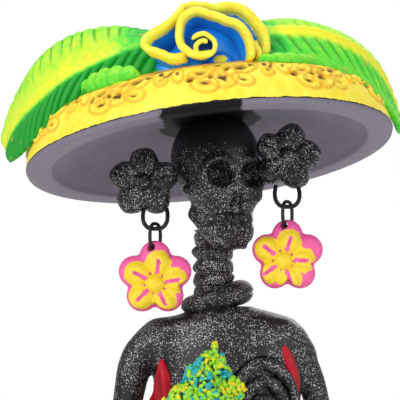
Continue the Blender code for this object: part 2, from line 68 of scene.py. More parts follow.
camera = bpy.data.objects.new("camera", bpy.data.cameras.new("camera"))
bpy.context.scene.collection.objects.link(camera)
rise = math.radians(CAMERA_RISE)
camera.location = AIM + Vector((0, -math.cos(rise), math.sin(rise))) * CAMERA_AWAY * MM
camera.rotation_euler = toward(camera.location, AIM)
camera.data.sensor_width = 36.0
camera.data.lens = 36.0 * CAMERA_AWAY / VIEW_WIDTH
camera.data.clip_start, camera.data.clip_end = 0.02, 30.0
bpy.context.scene.camera = camera
bpy.context.scene.view_settings.view_transform = "Standard"

# name, place (m), size (m), strength (W)
LAMPS = [("key", (-0.75, -0.95, 0.80), 0.60, 8.5), ("fill", (0.95, -0.80, 0.35), 0.70, 3.0),
         ("low_front", (0.05, -1.10, 0.06), 0.50, 1.0), ("top", (0.05, 0.10, 1.25), 0.60, 3.6),
         ("back", (0.30, 0.95, 0.60), 0.60, 2.4)]
for name, place, size, strength in LAMPS:
    lamp = bpy.data.lights.new(name, "AREA")
    lamp.size, lamp.energy = size, strength
    holder = bpy.data.objects.new(name, lamp)
    bpy.context.scene.collection.objects.link(holder)
    holder.location = place
    holder.rotation_euler = toward(Vector(place), AIM)

world = bpy.data.worlds.new("pale_studio")
world.use_nodes = True
AMBIENT, BACKDROP = 0.50, 1.0
background = world.node_tree.nodes["Background"]
background.inputs["Color"].default_value = (1.0, 1.0, 1.0, 1.0)
seen = world.node_tree.nodes.new("ShaderNodeLightPath")
level = world.node_tree.nodes.new("ShaderNodeMapRange")
level.inputs["To Min"].default_value, level.inputs["To Max"].default_value = AMBIENT, BACKDROP
world.node_tree.links.new(seen.outputs["Is Camera Ray"], level.inputs["Value"])
world.node_tree.links.new(level.outputs[0], background.inputs["Strength"])
bpy.context.scene.world = world


def linear(colour):
    """An sRGB hex colour as linear red, green, blue and alpha."""
    parts = [int(colour[i:i + 2], 16) / 255 for i in (1, 3, 5)]
    return (*(c / 12.92 if c <= 0.04045 else ((c + 0.055) / 1.055) ** 2.4 for c in parts), 1.0)


def add(tree, kind, inputs=(), stops=(), **settings):
    """Adds a node: its settings by name, its inputs as values or links, and a ramp's stops."""
    made = tree.nodes.new("ShaderNode" + kind)
    for name, value in settings.items():
        setattr(made, name, value)
    for socket, value in dict(inputs).items():
        if isinstance(value, bpy.types.NodeSocket):
            tree.links.new(value, made.inputs[socket])
        else:
            made.inputs[socket].default_value = value
    for i, (place, value) in enumerate(stops):
        stop = made.color_ramp.elements[i] if i < 2 else made.color_ramp.elements.new(place)
        stop.position, stop.color = place, linear(value) if isinstance(value, str) else (value, value,
                                                                                         value, 1.0)
    return made


def finish(name, **sockets):
    """A new material, its even values set on the shader's sockets; gives the material, tree and shader."""
    material = bpy.data.materials.new(name)
    material.use_nodes = True
    shader = material.node_tree.nodes["Principled BSDF"]
    for socket, value in sockets.items():
        shader.inputs[socket.replace("_", " ")].default_value = value
    return material, material.node_tree, shader


def shade(tree, shader, **links):
    """Joins outputs to the shader's sockets."""
    for socket, source in links.items():
        tree.links.new(source, shader.inputs[socket.replace("_", " ")])


def blend(tree, factor, first, second):
    """One colour over another by a factor; each may be a hex colour or an output."""
    first, second = (linear(c) if isinstance(c, str) else c for c in (first, second))
    return add(tree, "Mix", {0: factor, 6: first, 7: second}, data_type="RGBA").outputs[2]


def bump(tree, height, depth_mm, strength=1.0):
    """The shader's normal from a height pattern of the given depth."""
    return add(tree, "Bump", {"Height": height, "Distance": depth_mm * MM, "Strength": strength}).outputs[0]


def speckle(tree, size_mm, detail=3.0, rough=0.55, stretch=(1, 1, 1)):
    """Noise whose patches are about this size on the object."""
    where = add(tree, "TexCoord").outputs["Object"]
    where = add(tree, "Mapping", {"Vector": where, "Scale": stretch}).outputs[0]
    return add(tree, "TexNoise", {"Vector": where, "Scale": 1 / (size_mm * MM), "Detail": detail,
                                  "Roughness": rough}).outputs["Fac"]


floor_mesh = bpy.data.meshes.new("floor")
FLOOR = 3.0
floor_mesh.from_pydata([(-FLOOR, -FLOOR, 0), (FLOOR, -FLOOR, 0), (FLOOR, FLOOR, 0), (-FLOOR, FLOOR, 0)], [],
                       [(0, 1, 2, 3)])
floor = bpy.data.objects.new("floor", floor_mesh)
bpy.context.scene.collection.objects.link(floor)
FLOOR_PAPER, tree, shader = finish("matt_floor_paper", Base_Color=linear("#eeeeec"), Roughness=0.9)
floor_mesh.materials.append(FLOOR_PAPER)


# ---- base board and armature wire ----
# A round board of plywood painted black holds up the armature: one length of 3 mm black annealed wire that
# runs up through the skirt, chest and neck into the head.
def fractal(points, size, seed=0.0, octaves=3):
    """Smooth noise at each point, about -1 to 1, with patches of the given size in millimetres."""
    flat = np.asarray(points, float).reshape(-1, 3)
    step = Vector((seed * 17.3, seed * 5.1, seed * 9.7))
    out = [noise.fractal(Vector(p) / size + step, 0.9, 2.1, octaves) for p in flat.tolist()]
    return np.array(out).reshape(np.shape(points)[:-1])


def between(stations, key):
    """Rows of (key, value, ...) read at one or many keys, a column of values for each."""
    table = np.array(stations, float)
    return [np.interp(key, table[:, 0], column) for column in table[:, 1:].T]


def rounded(stations, steps):
    """Many stations along a smooth curve through a few (Catmull-Rom)."""
    table = np.array(stations, float)
    table = np.vstack([2 * table[0] - table[1], table, 2 * table[-1] - table[-2]])
    t = np.linspace(0, 1, steps, endpoint=False)[:, None]
    parts = []
    for a, b, c, d in zip(table, table[1:], table[2:], table[3:]):
        parts.append(0.5 * (2 * b + (c - a) * t + (2 * a - 5 * b + 4 * c - d) * t ** 2
                            + (3 * b - a - 3 * c + d) * t ** 3))
    return np.vstack([*parts, table[-2:-1]])


def make(name, points, faces, materials, body="figure", stands_for=(), marks=None, picks=None):
    """Makes a piece from points in millimetres, with its marks as point attributes, hangs it on its body and
    hides the frame parts it stands for.
    """
    mesh = bpy.data.meshes.new(name)
    mesh.from_pydata((np.asarray(points) * MM).tolist(), [],
                     faces if isinstance(faces, list) else faces.tolist())
    for material in materials:
        mesh.materials.append(material)
    for mark, values in (marks or {}).items():
        mesh.attributes.new(mark, "FLOAT", "POINT").data.foreach_set("value",
                                                                     np.asarray(values, np.float32).ravel())
    if picks is not None:
        mesh.polygons.foreach_set("material_index", np.asarray(picks, np.int32))
    bm = bmesh.new()
    bm.from_mesh(mesh)
    bmesh.ops.recalc_face_normals(bm, faces=bm.faces)
    bm.to_mesh(mesh)
    bm.free()
    mesh.shade_smooth()
    piece = bpy.data.objects.new(name, mesh)
    bpy.context.scene.collection.objects.link(piece)
    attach(piece, body)
    if stands_for:
        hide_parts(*stands_for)
    return piece


def quads(rows, columns, wrap_rows=False, caps=False):
    """Faces over a grid whose columns close on themselves; its rows may too, and its ends may be capped."""
    index = np.arange(rows * columns).reshape(rows, columns)
    if wrap_rows:
        index = np.vstack([index, index[:1]])
    right = np.roll(index, -1, axis=1)
    faces = np.stack([index[:-1], right[:-1], right[1:], index[1:]], axis=-1).reshape(-1, 4).tolist()
    if caps:
        faces += [list(range(columns))[::-1], list(range((rows - 1) * columns, rows * columns))]
    return faces


def spun(profile, steps, wobble=None):
    """Points of a turned form: the profile of (radius, height) rows, the steps round it as columns."""
    turn = np.linspace(0, math.tau, steps, endpoint=False)
    radius, height = np.array(profile, float).T
    radius = radius[:, None] + (wobble(turn[None, :], height[:, None]) if wobble else 0.0) * np.ones(steps)
    return np.stack([radius * np.cos(turn), radius * np.sin(turn), height[:, None] * np.ones(steps)],
                    axis=-1)


# Matt black board paint: brushed, so slightly streaky, with grains of dust in it
BOARD_PAINT, tree, shader = finish("brushed_black_board_paint", Roughness=0.5, Specular_IOR_Level=0.4)
streaks = speckle(tree, 3.0, 5.0, 0.6, (1, 8, 1))
shade(tree, shader, Base_Color=blend(tree, streaks, "#141316", "#2a292c"),
      Normal=bump(tree, streaks, 0.15, 0.5))

# Annealed wire: dark oxide skin, dull, with fine drawing lines
WIRE, tree, shader = finish("black_annealed_wire", Metallic=0.7, Roughness=0.42)
oxide = speckle(tree, 0.4, 4.0)
shade(tree, shader, Base_Color=blend(tree, oxide, "#17171a", "#3c3b3e"),
      Normal=bump(tree, oxide, 0.05, 0.4))

board_low, board_high = (np.array(corner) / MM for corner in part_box("base_board"))
board_middle = (board_low + board_high) / 2
radius = (board_high[0] - board_low[0]) / 2
thick = board_high[2]
BOARD_ROUND = 144
profile = [(0.01, thick), (radius * 0.3, thick), (radius * 0.6, thick), (radius - 1.4, thick),
           (radius - 0.7, thick - 0.15),
           (radius - 0.15, thick - 0.7), (radius, thick - 1.4), (radius, 1.0), (radius - 0.3, 0.3),
           (radius - 1, 0),
           (0.01, 0)]
points = spun(profile[::-1], BOARD_ROUND) + [board_middle[0], board_middle[1], 0]
make("base_board_painted", points.reshape(-1, 3), quads(len(profile), BOARD_ROUND, caps=True),
     [BOARD_PAINT],
     stands_for=["base_board"])


def geometry_tree(name, sockets):
    """An empty Geometry Nodes tree with its named inputs; gives the tree and its two ends."""
    tree = bpy.data.node_groups.new(name, "GeometryNodeTree")
    tree.interface.new_socket("Geometry", in_out="INPUT", socket_type="NodeSocketGeometry")
    for title, kind in sockets:
        tree.interface.new_socket(title, in_out="INPUT", socket_type="NodeSocket" + kind)
    tree.interface.new_socket("Geometry", in_out="OUTPUT", socket_type="NodeSocketGeometry")
    return tree, tree.nodes.new("NodeGroupInput"), tree.nodes.new("NodeGroupOutput")


def grow(tree, kind, inputs=(), **settings):
    """Adds a geometry node with its settings and links."""
    made = tree.nodes.new(kind)
    for name, value in settings.items():
        setattr(made, name, value)
    for socket, value in dict(inputs).items():
        if isinstance(value, bpy.types.NodeSocket):
            tree.links.new(value, made.inputs[socket])
        else:
            made.inputs[socket].default_value = value
    return made


# A wire laid along a path: the path, its thickness at each bead, and the sides of its round section
wire_tree, start, end = geometry_tree("wire_along_path", [("Thickness", "Float"), ("Sides", "Int"),
                                                          ("Finish", "Material")])
ring = grow(wire_tree, "GeometryNodeCurvePrimitiveCircle", {"Resolution": start.outputs["Sides"],
                                                            "Radius": start.outputs["Thickness"]})
swept = grow(wire_tree, "GeometryNodeCurveToMesh", {"Curve": start.outputs["Geometry"],
                                                    "Profile Curve": ring.outputs[0],
                                                    "Scale": grow(wire_tree,
                                                                  "GeometryNodeInputRadius").outputs[0],
                                                    "Fill Caps": True})
real = grow(wire_tree, "GeometryNodeRealizeInstances", {"Geometry": swept.outputs[0]})
painted = grow(wire_tree, "GeometryNodeSetMaterial", {"Geometry": real.outputs[0],
                                                      "Material": start.outputs["Finish"]})
wire_tree.links.new(painted.outputs[0], end.inputs[0])


def grown_mesh(holder, tree, name, **values):
    """Runs a Geometry Nodes tree on a holder object and gives its result as a plain mesh."""
    modifier = holder.modifiers.new(name, "NODES")
    modifier.node_group = tree
    for item in tree.interface.items_tree:
        if item.in_out == "INPUT" and item.name in values:
            modifier[item.identifier] = values[item.name]
    bpy.context.view_layer.update()
    evaluated = holder.evaluated_get(bpy.context.evaluated_depsgraph_get())
    mesh = bpy.data.meshes.new_from_object(evaluated)
    holder.modifiers.remove(modifier)
    mesh.name = name
    return mesh


def sweep(name, path, thickness, material, sides=14, swell=None, cyclic=False, body="figure",
          stands_for=()):
    """A wire or roll of paste along a path in millimetres, its thickness swelling along it."""
    curve = bpy.data.curves.new(name, "CURVE")
    curve.dimensions = "3D"
    spline = curve.splines.new("POLY")
    spline.points.add(len(path) - 1)
    spline.use_cyclic_u = cyclic
    for bead, place, size in zip(spline.points, path, swell if swell is not None else np.ones(len(path))):
        bead.co = (*(np.array(place) * MM), 1.0)
        bead.radius = size
    holder = bpy.data.objects.new(name + "_path", curve)
    bpy.context.scene.collection.objects.link(holder)
    mesh = grown_mesh(holder, wire_tree, name, Thickness=thickness * MM, Sides=sides, Finish=material)
    bpy.data.objects.remove(holder, do_unlink=True)
    mesh.shade_smooth()
    piece = bpy.data.objects.new(name, mesh)
    bpy.context.scene.collection.objects.link(piece)
    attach(piece, body)
    if stands_for:
        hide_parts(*stands_for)
    return piece


wire_low, wire_high = (np.array(corner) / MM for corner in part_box("armature_wire"))
wire_x, wire_y = (wire_low[:2] + wire_high[:2]) / 2
sweep("armature_wire_drawn", [(wire_x, wire_y, z) for z in np.linspace(wire_low[2], wire_high[2], 8)],
      (wire_high[0] - wire_low[0]) / 2, WIRE, stands_for=["armature_wire"])


# ---- skirt, ruffles and sash ----
# A cone of papier-mache layers over a form, stiff when dry and painted red with a satin finish. Two ruffles
# and a waist sash of the same paste are laid on it and pleated with a modelling tool while wet.
SKIRT_PROFILE = [(13.0, 164), (15.5, 157), (20, 143), (27, 119), (36, 85), (46, 50), (54, 20), (57, 5.3)]
SKIRT_WALL = 2.6
SKIRT_PLEATS, RUFFLE_PLEATS = 18, 40
SKIRT_ROUND, RUFFLE_ROUND, SASH_ROUND, SASH_SIDES = 216, 320, 180, 20     # steps of each mesh
skirt_low, skirt_high = (np.array(corner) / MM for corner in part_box("skirt_shell"))
skirt_middle = (skirt_low + skirt_high) / 2

# Satin red: opaque paint over paper, with painted shade that darkens it in the folds; the ridges keep the
# paint's own red
DRESS_RED, tree, shader = finish("satin_red_paint", Roughness=0.45, Specular_IOR_Level=0.3)
layers = speckle(tree, 2.2, 5.0)
grain = speckle(tree, 0.35, 3.0)
red = blend(tree, layers, "#ab0a20", "#d8142f")
# painted shade: the red is multiplied darker where the surface is hollow, read from its pointiness
ridge = add(tree, "ValToRGB", {0: add(tree, "NewGeometry").outputs["Pointiness"]},
            stops=[(0.46, "#6e0614"), (0.53, "#ffffff")]).outputs[0]
red = add(tree, "Mix", {0: 1.0, 6: red, 7: ridge}, data_type="RGBA", blend_type="MULTIPLY").outputs[2]
shade(tree, shader, Base_Color=red, Normal=bump(tree, grain, 0.12, 0.5))


def pleated(turn, height):
    """Soft pleats that open towards the hem."""
    depth = 1.3 * np.clip((164 - height) / 160, 0, 1) ** 1.3
    return depth * np.cos(SKIRT_PLEATS * turn + 0.5 * np.sin(3 * turn) + 0.004 * height)


outer = rounded([(z, r) for r, z in SKIRT_PROFILE], 11)[:, ::-1]
inner = outer[:-2] - [SKIRT_WALL, 0]
profile = np.vstack([outer[:-1], [(57.0, 5.4), (56.6, 5.3), (54.6, 5.3)], inner[12:][::-1],
                     [(2.2, 158.0), (2.2, 164.0)]])
points = spun(profile[::-1], SKIRT_ROUND, pleated)
points[0, :, :2] = points[1, :, :2]
points += [skirt_middle[0], skirt_middle[1], 0]
make("skirt_painted", points.reshape(-1, 3), quads(len(profile), SKIRT_ROUND, wrap_rows=True), [DRESS_RED],
     stands_for=["skirt_shell"])


def ruffle(node, swell):
    """A pleated band on the skirt: its hem waves and stands out, and its top edge is pressed flat."""
    low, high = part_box(node)
    low, high = low[2] / MM, high[2] / MM
    steps = 26
    heights = np.linspace(high, low, steps)
    side = np.interp(heights, [z for _, z in SKIRT_PROFILE[::-1]], [r for r, _ in SKIRT_PROFILE[::-1]])
    drop = np.linspace(0, 1, steps)
    face = np.stack([side + 1.0 + (swell + 1.2) * drop ** 1.2, heights], axis=1)
    hem = [(side[-1] + swell + 1.8, low - 0.6), (side[-1] + swell + 0.8, low - 0.5)]
    sunk = 1.8 * (1 - drop) ** 2
    back = np.stack([(side + 0.4 + swell * 0.8 * drop ** 2 - sunk)[::-1], heights[::-1]], axis=1)
    profile = np.vstack([face, hem, back])

    def wave(turn, height):
        open_hem = np.clip((high - height) / (high - low), 0, 1)
        return 1.5 * open_hem * np.cos(RUFFLE_PLEATS * turn + np.sin(5 * turn))
    points = spun(profile[::-1], RUFFLE_ROUND, wave)
    turn = np.linspace(0, math.tau, RUFFLE_ROUND, endpoint=False)
    open_hem = np.clip((high - points[..., 2]) / (high - low), 0, 1)
    points[..., 2] += 0.9 * open_hem * np.sin(RUFFLE_PLEATS * turn + np.sin(5 * turn))
    points += [skirt_middle[0], skirt_middle[1], 0]
    make(node + "_pleated", points.reshape(-1, 3), quads(len(profile), RUFFLE_ROUND, wrap_rows=True),
         [DRESS_RED],
         stands_for=[node])


ruffle("skirt_ruffle_lower", 3.0)
ruffle("skirt_ruffle_upper", 3.0)

# The sash is a twisted roll of paste round the waist
sash_low, sash_high = (np.array(corner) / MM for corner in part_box("waist_sash"))
sash_middle, sash_radius = (sash_low + sash_high) / 2, (sash_high[0] - sash_low[0]) / 2
around = np.linspace(0, math.tau, SASH_ROUND, endpoint=False)
section = np.linspace(0, math.tau, SASH_SIDES, endpoint=False)
twist = 0.32 * np.cos(3 * (section[None, :] - 7 * around[:, None] / 3))
across = (1.7 + twist) * np.cos(section)
rise = (3.5 + twist) * np.sin(section) - 0.45
points = np.stack([(sash_radius - 1.9 + across) * np.cos(around)[:, None],
                   (sash_radius - 1.9 + across) * np.sin(around)[:, None], rise], axis=-1) + sash_middle
make("waist_sash_twisted", points.reshape(-1, 3), quads(SASH_ROUND, SASH_SIDES, wrap_rows=True),
     [DRESS_RED],
     stands_for=["waist_sash"])


# ---- chest, shoulders and arms ----
# The chest and arms are modelled in one over the armature in fine paste, smoothed with water, painted
# charcoal black, and brushed with clear varnish that holds fine silver glitter.
CHEST = [(164.3, 12.0, 9.4), (173, 13.4, 9.8), (186, 18.6, 11.5), (200, 21.2, 13), (211, 22.2, 13),
         (218, 22.6, 12), (222.5, 21.0, 10.8), (225.5, 17.6, 9.2), (227.8, 12, 8), (229.2, 7, 6.5)]
sash_x, sash_y = sash_middle[:2]
# the arms: x, y, z and radius down each
ARMS = {"left": [(-16.5, 2.3, 220.0, 4.8), (-22.4, 2.5, 213.5, 5.0), (-24.8, 2.5, 204, 4.5),
                 (-26.8, 2.5, 190, 3.9),
                 (-28.5, 1.6, 179, 3.6), (-28.2, -1.5, 174.8, 3.6), (-26, -8, 173.5, 3.5),
                 (-20.5, -17, 173.5, 3.0),
                 (-14.5, -23, 174, 2.7)],
        "right": [(20.0, 3.6, 220.0, 4.6), (26.3, 4.3, 212.4, 4.4), (29.8, 5, 204, 3.9),
                  (32.3, 4, 190, 3.6),
                  (32.6, 1.6, 179, 3.6), (31.6, -1.8, 174.8, 3.5), (26, -9, 173.5, 3.5),
                  (14, -18.5, 173.5, 3.0),
                  (3.5, -23.5, 174, 2.7)]}


def space(low, high, cell):
    """A block of sample places in millimetres."""
    axes = [np.arange(a, b + cell, cell) for a, b in zip(low, high)]
    return np.meshgrid(*axes, indexing="ij")


def egg(x, y, z, middle, half):
    """Distance, roughly, to an egg form with the given half sizes."""
    parts = [(c - m) / h for c, m, h in zip((x, y, z), middle, half)]
    size = np.sqrt(sum(p * p for p in parts))
    return (size - 1) * size / (np.sqrt(sum((p / h) ** 2 for p, h in zip(parts, half))) + 1e-9)


def rod(x, y, z, start, end, thick, thick_end=None):
    """Distance to a round rod between two points, tapering from one thickness to the other."""
    start, way = np.array(start, float), np.array(end, float) - np.array(start, float)
    t = np.clip(((x - start[0]) * way[0] + (y - start[1]) * way[1] + (z - start[2]) * way[2]) / (way @ way),
                0, 1)
    gap = np.sqrt((x - start[0] - t * way[0]) ** 2 + (y - start[1] - t * way[1]) ** 2
                  + (z - start[2] - t * way[2]) ** 2)
    return gap - (thick if thick_end is None else thick + (thick_end - thick) * t)


def join(a, b, soft):
    """Two forms pressed together, the paste smoothed into the corner."""
    h = np.clip(0.5 + 0.5 * (b - a) / soft, 0, 1)
    return b + (a - b) * h - soft * h * (1 - h)


def carve(a, b, soft):
    """The first form with the second pressed out of it."""
    return -join(-a, b, soft)


RELAX_ROUNDS, RELAX_SHARE = 2, 0.6


def skin(field, axes):
    """The surface where a distance field is zero: points, one in each cell cut, and four-sided faces."""
    shape = tuple(n - 1 for n in field.shape)
    total, count = np.zeros((*shape, 3)), np.zeros(shape)
    crossings = []
    for axis in range(3):
        u, v = (axis + 1) % 3, (axis + 2) % 3
        first = np.take(field, range(0, field.shape[axis] - 1), axis)
        second = np.take(field, range(1, field.shape[axis]), axis)
        cross = (first < 0) != (second < 0)
        along = np.where(cross, first / (first - second + 1e-12), 0.0)
        crossings.append((axis, u, v, cross, first < 0))
        for du in (0, 1):
            for dv in (0, 1):
                cut = [slice(None)] * 3
                cut[u], cut[v] = slice(du, du + shape[u]), slice(dv, dv + shape[v])
                hit = cross[tuple(cut)]
                count += hit
                total[..., axis] += along[tuple(cut)]
                total[..., u] += hit * du
                total[..., v] += hit * dv
    used = count > 0
    index = np.full(shape, -1)
    index[used] = np.arange(used.sum())
    corner = np.argwhere(used)
    places = corner + total[used] / count[used][:, None]
    points = np.stack([axes[k].flat[0] + places[:, k] * (np.diff(axes[k], axis=k).flat[0])
                       for k in range(3)], axis=1)
    faces = []
    for axis, u, v, cross, inside in crossings:
        inner = [slice(None)] * 3
        inner[u], inner[v] = slice(1, shape[u]), slice(1, shape[v])
        at = np.argwhere(cross[tuple(inner)])
        at[:, u] += 1
        at[:, v] += 1
        out = ~inside[tuple(at.T)]
        square = []
        for du, dv in ((1, 1), (0, 1), (0, 0), (1, 0)):
            cell = at.copy()
            cell[:, u] -= du
            cell[:, v] -= dv
            square.append(index[tuple(cell.T)])
        square = np.stack(square, axis=1)
        square[out] = square[out][:, ::-1]
        faces.append(square)
    faces = np.vstack(faces)
    for _ in range(RELAX_ROUNDS):
        pull, links = np.zeros_like(points), np.zeros(len(points))
        for k in range(4):
            np.add.at(pull, faces[:, k], points[faces[:, (k + 1) % 4]])
            np.add.at(links, faces[:, k], 1)
        points = points * (1 - RELAX_SHARE) + pull / links[:, None] * RELAX_SHARE
    return points, faces


# Glitter flakes: spacing (mm), size as a share of it, and the share of places that hold one. They are coarser
# than real glitter of 0.2 mm, so that they show
FLAKE_LAYERS = ((0.34, 0.38, 0.60), (0.62, 0.28, 0.34))


def glitter_paint(name, hat_shadow_above=400.0):
    """Charcoal paint, varnished with silver glitter: thicker in some strokes, and faded out above a height
    (mm) as a painted shadow of the hat.
    """
    material, tree, shader = finish(name, Specular_IOR_Level=0.35, Coat_Weight=0.16, Coat_Roughness=0.3)
    where = add(tree, "TexCoord").outputs["Object"]
    drifts = add(tree, "ValToRGB", {0: speckle(tree, 6.0, 4.0)},
                 stops=[(0.38, 0.10), (0.60, 1.0)]).outputs[0]
    # painted shadow: the flakes fade out above the given height
    high = add(tree, "SeparateXYZ", {0: where}).outputs["Z"]
    below = add(tree, "MapRange", {0: high, 1: (hat_shadow_above + 4) * MM, 2: (hat_shadow_above - 9) * MM}).outputs[0]
    drifts = add(tree, "Math", {0: drifts, 1: below}, operation="MULTIPLY").outputs[0]
    flakes = None
    for size_mm, reach, share in FLAKE_LAYERS:
        grains = add(tree, "TexVoronoi", {"Vector": where, "Scale": 1 / (size_mm * MM)})
        near = add(tree, "Math", {0: grains.outputs["Distance"], 1: reach},
                   operation="LESS_THAN").outputs[0]
        pick = add(tree, "SeparateColor", {0: grains.outputs["Color"]})
        wanted = add(tree, "Math", {0: drifts, 1: share}, operation="MULTIPLY").outputs[0]
        chosen = add(tree, "Math", {0: pick.outputs[0], 1: wanted}, operation="LESS_THAN").outputs[0]
        bright = add(tree, "MapRange", {0: pick.outputs[1], 3: 0.25, 4: 1.0}).outputs[0]
        flake = add(tree, "Math", {0: near, 1: chosen}, operation="MULTIPLY").outputs[0]
        flake = add(tree, "Math", {0: flake, 1: bright}, operation="MULTIPLY").outputs[0]
        flakes = flake if flakes is None else add(tree, "Math", {0: flakes, 1: flake},
                                                  operation="MAXIMUM").outputs[0]
    dust = speckle(tree, 0.6, 5.0, 0.7)
    base = blend(tree, dust, "#0b0a0d", "#1c1a1f")
    shade(tree, shader, Base_Color=blend(tree, flakes, base, "#f2f0f4"),
          Metallic=add(tree, "Math", {0: flakes, 1: 0.35}, operation="MULTIPLY").outputs[0],
          Roughness=add(tree, "MapRange", {0: dust, 3: 0.34, 4: 0.55}).outputs[0],
          Normal=bump(tree, add(tree, "Math", {0: dust, 1: flakes}, operation="ADD").outputs[0], 0.07, 0.6))
    return material


PASTE_BLACK = glitter_paint("glitter_varnished_black_paste")
CHEST_CELL = 0.5
x, y, z = space((-36, -30, 163), (40, 20, 232), CHEST_CELL)
half_width, half_depth = between(CHEST, np.clip(z, 164.3, 229.2))
round_size = np.sqrt(((x - sash_x) / half_width) ** 2 + ((y - sash_y) / half_depth) ** 2)
chest = (round_size - 1) * np.minimum(half_width, half_depth)
chest = np.maximum(chest, np.maximum(164.6 - z, z - 229.2))

# a shallow hollow under the ribs, on the right of the chest
RIB_MIDDLE, RIB_OUTER = (14.4, 197.0), (11.4, 17.4)
arch = np.sqrt(((x - RIB_MIDDLE[0]) / RIB_OUTER[0]) ** 2 + ((z - RIB_MIDDLE[1]) / RIB_OUTER[1]) ** 2)
hollow = np.maximum((arch - 1) * 11.4, np.maximum(y, RIB_MIDDLE[1] - 6 - z))
chest = np.where(chest > -4.5, carve(chest, np.maximum(hollow, -(chest + 1.9)), 0.5), chest)

# collar bones are only a hint: two soft swellings that run out to the shoulders
for side in (-1, 1):
    chest = join(chest, rod(x, y, z, (sash_x + side * 4, -5.6, 224.2), (sash_x + side * 17, -3.4, 222.6),
                            1.5), 4.0)
body = chest
for stations in ARMS.values():
    path = rounded(stations, 4)
    arm = None
    for a, b in zip(path, path[1:]):
        part = rod(x, y, z, a[:3], b[:3], a[3], b[3])
        arm = part if arm is None else np.minimum(arm, part)
    body = join(body, arm, np.interp(z, [203, 211, 216], [0.35, 2.0, 6.0]))
wire_bore = np.hypot(x - wire_x, y - wire_y) - 1.55
body = np.maximum(body, -wire_bore)
points, faces = skin(body, (x, y, z))
make("chest_and_arms", points, faces, [PASTE_BLACK],
     stands_for=["torso", "upper_arm_left", "upper_arm_right", "forearm_left", "forearm_right"])


# ---- ribs ----
# Three nested arches of rolled paste, pressed into the hollow at the right of the chest.
def on_chest(place_x, place_z, lift):
    """A point that far in front of the chest."""
    wide, deep = between(CHEST, place_z)
    turn = math.asin(max(-1.0, min(1.0, (place_x - sash_x) / wide)))
    return (sash_x + (wide + lift) * math.sin(turn), sash_y - (deep + lift) * math.cos(turn), place_z)


RIB_THICK = 1.75
for name, half, tall in (("rib_upper", 9.6, 15.6), ("rib_middle", 6.3, 10.5), ("rib_lower", 3.1, 5.4)):
    turn = np.radians(np.linspace(176, -14, 48))
    arc = [on_chest(RIB_MIDDLE[0] + half * math.cos(t), RIB_MIDDLE[1] + tall * math.sin(t), 0.2)
           for t in turn]
    swell = 0.45 + 0.55 * np.sin(np.linspace(0.12, math.pi - 0.12, 48)) ** 0.5
    sweep(name + "_rolled", arc, RIB_THICK, PASTE_BLACK, sides=20, swell=swell,
          stands_for=[name])


# ---- bodice and side panel ----
# The red of the dress: a thin skin of paste painted with the skirt, from the left front round the back, with
# a narrow tongue of it between the ribs and the right arm.
def chest_cloth(name, node, angle, low, high):
    """A closed patch over the chest between two heights, round the given angles, with a soft edge."""
    rows, columns = 40, len(angle)
    up = np.linspace(0, 1, rows)[:, None]
    height = low + (high - low) * up
    wide, deep = between(CHEST, height)
    turn = np.radians(angle)[None, :]
    along = np.linspace(0, 1, columns)[None, :]
    edge = np.clip(np.minimum(np.minimum(up, 1 - up) * rows / 3,
                              np.minimum(along, 1 - along) * columns / 3), 0, 1)
    lift = 0.35 + 1.5 * np.sqrt(edge) + 0.22 * np.sin(turn * 26 + height * 0.12) * edge
    faces_at = [np.stack([sash_x + (wide + out) * np.sin(turn), sash_y - (deep + out) * np.cos(turn),
                          height * np.ones_like(turn)], axis=-1)
                for out in (lift, 0.3 * np.ones_like(lift))]
    front, back = faces_at
    strip = np.concatenate([front, back[:, ::-1]], axis=1)
    make(name, strip.reshape(-1, 3), quads(rows, strip.shape[1], caps=True), [DRESS_RED],
         stands_for=[node])


BODICE_ANGLES = np.linspace(120, 311, 150)
scoop = np.minimum(1, (np.minimum(abs(BODICE_ANGLES - 90), abs(BODICE_ANGLES - 270)) / 30) ** 3)
corner = np.clip((BODICE_ANGLES - 300) / 11, 0, 1) ** 2
chest_cloth("dress_bodice_painted", "dress_bodice", BODICE_ANGLES, 173.0,
            203.5 + 10.5 * scoop - 5.0 * corner)

# the tongue: degrees round the chest and height at its two ends, and its half width
TONGUE_START, TONGUE_END, TONGUE_HALF = (45.0, 217.6), (70.0, 203.0), 2.1
along = np.linspace(0, 1, 40)[:, None]
across = np.linspace(-1, 1, 14)[None, :]
half = TONGUE_HALF * np.sqrt(np.clip(np.sin(math.pi * (0.03 + 0.94 * along)), 0, 1))
height = TONGUE_START[1] + (TONGUE_END[1] - TONGUE_START[1]) * along + 0.4 * half * across
turn = np.radians(TONGUE_START[0] + (TONGUE_END[0] - TONGUE_START[0]) * along + 2.3 * half * across)
wide, deep = between(CHEST, height)
fall = np.sqrt(np.clip(1 - across ** 2, 0, 1)) * np.sqrt(np.clip(np.sin(math.pi * along), 0, 1))
sides = [np.stack([sash_x + (wide + out) * np.sin(turn), sash_y - (deep + out) * np.cos(turn), height],
                  axis=-1)
         for out in (0.2 + 1.1 * fall, -0.6 + 0 * fall)]
strip = np.concatenate([sides[0], sides[1][:, ::-1]], axis=1)
make("dress_tongue_painted", strip.reshape(-1, 3), quads(40, 28, caps=True), [DRESS_RED],
     stands_for=["dress_panel_right"])


# ---- bouquet ----
# A cone of paste stuck all over with crumbs of paste, dabbed yellow, lime and turquoise, on a bundle of
# green stems that she holds in both hands.
BLOOM = [(180.5, 2), (184, 8), (189, 11), (195, 12), (201, 11.2), (207, 8.2), (212, 5.2), (216, 2.4),
         (218, 0.5)]
STEM_X, STEM_Y, GRIP_Z = -6.0, -24.5, 174.0
CRUMB_SIZE, CRUMB_SEED = 1.2, 7

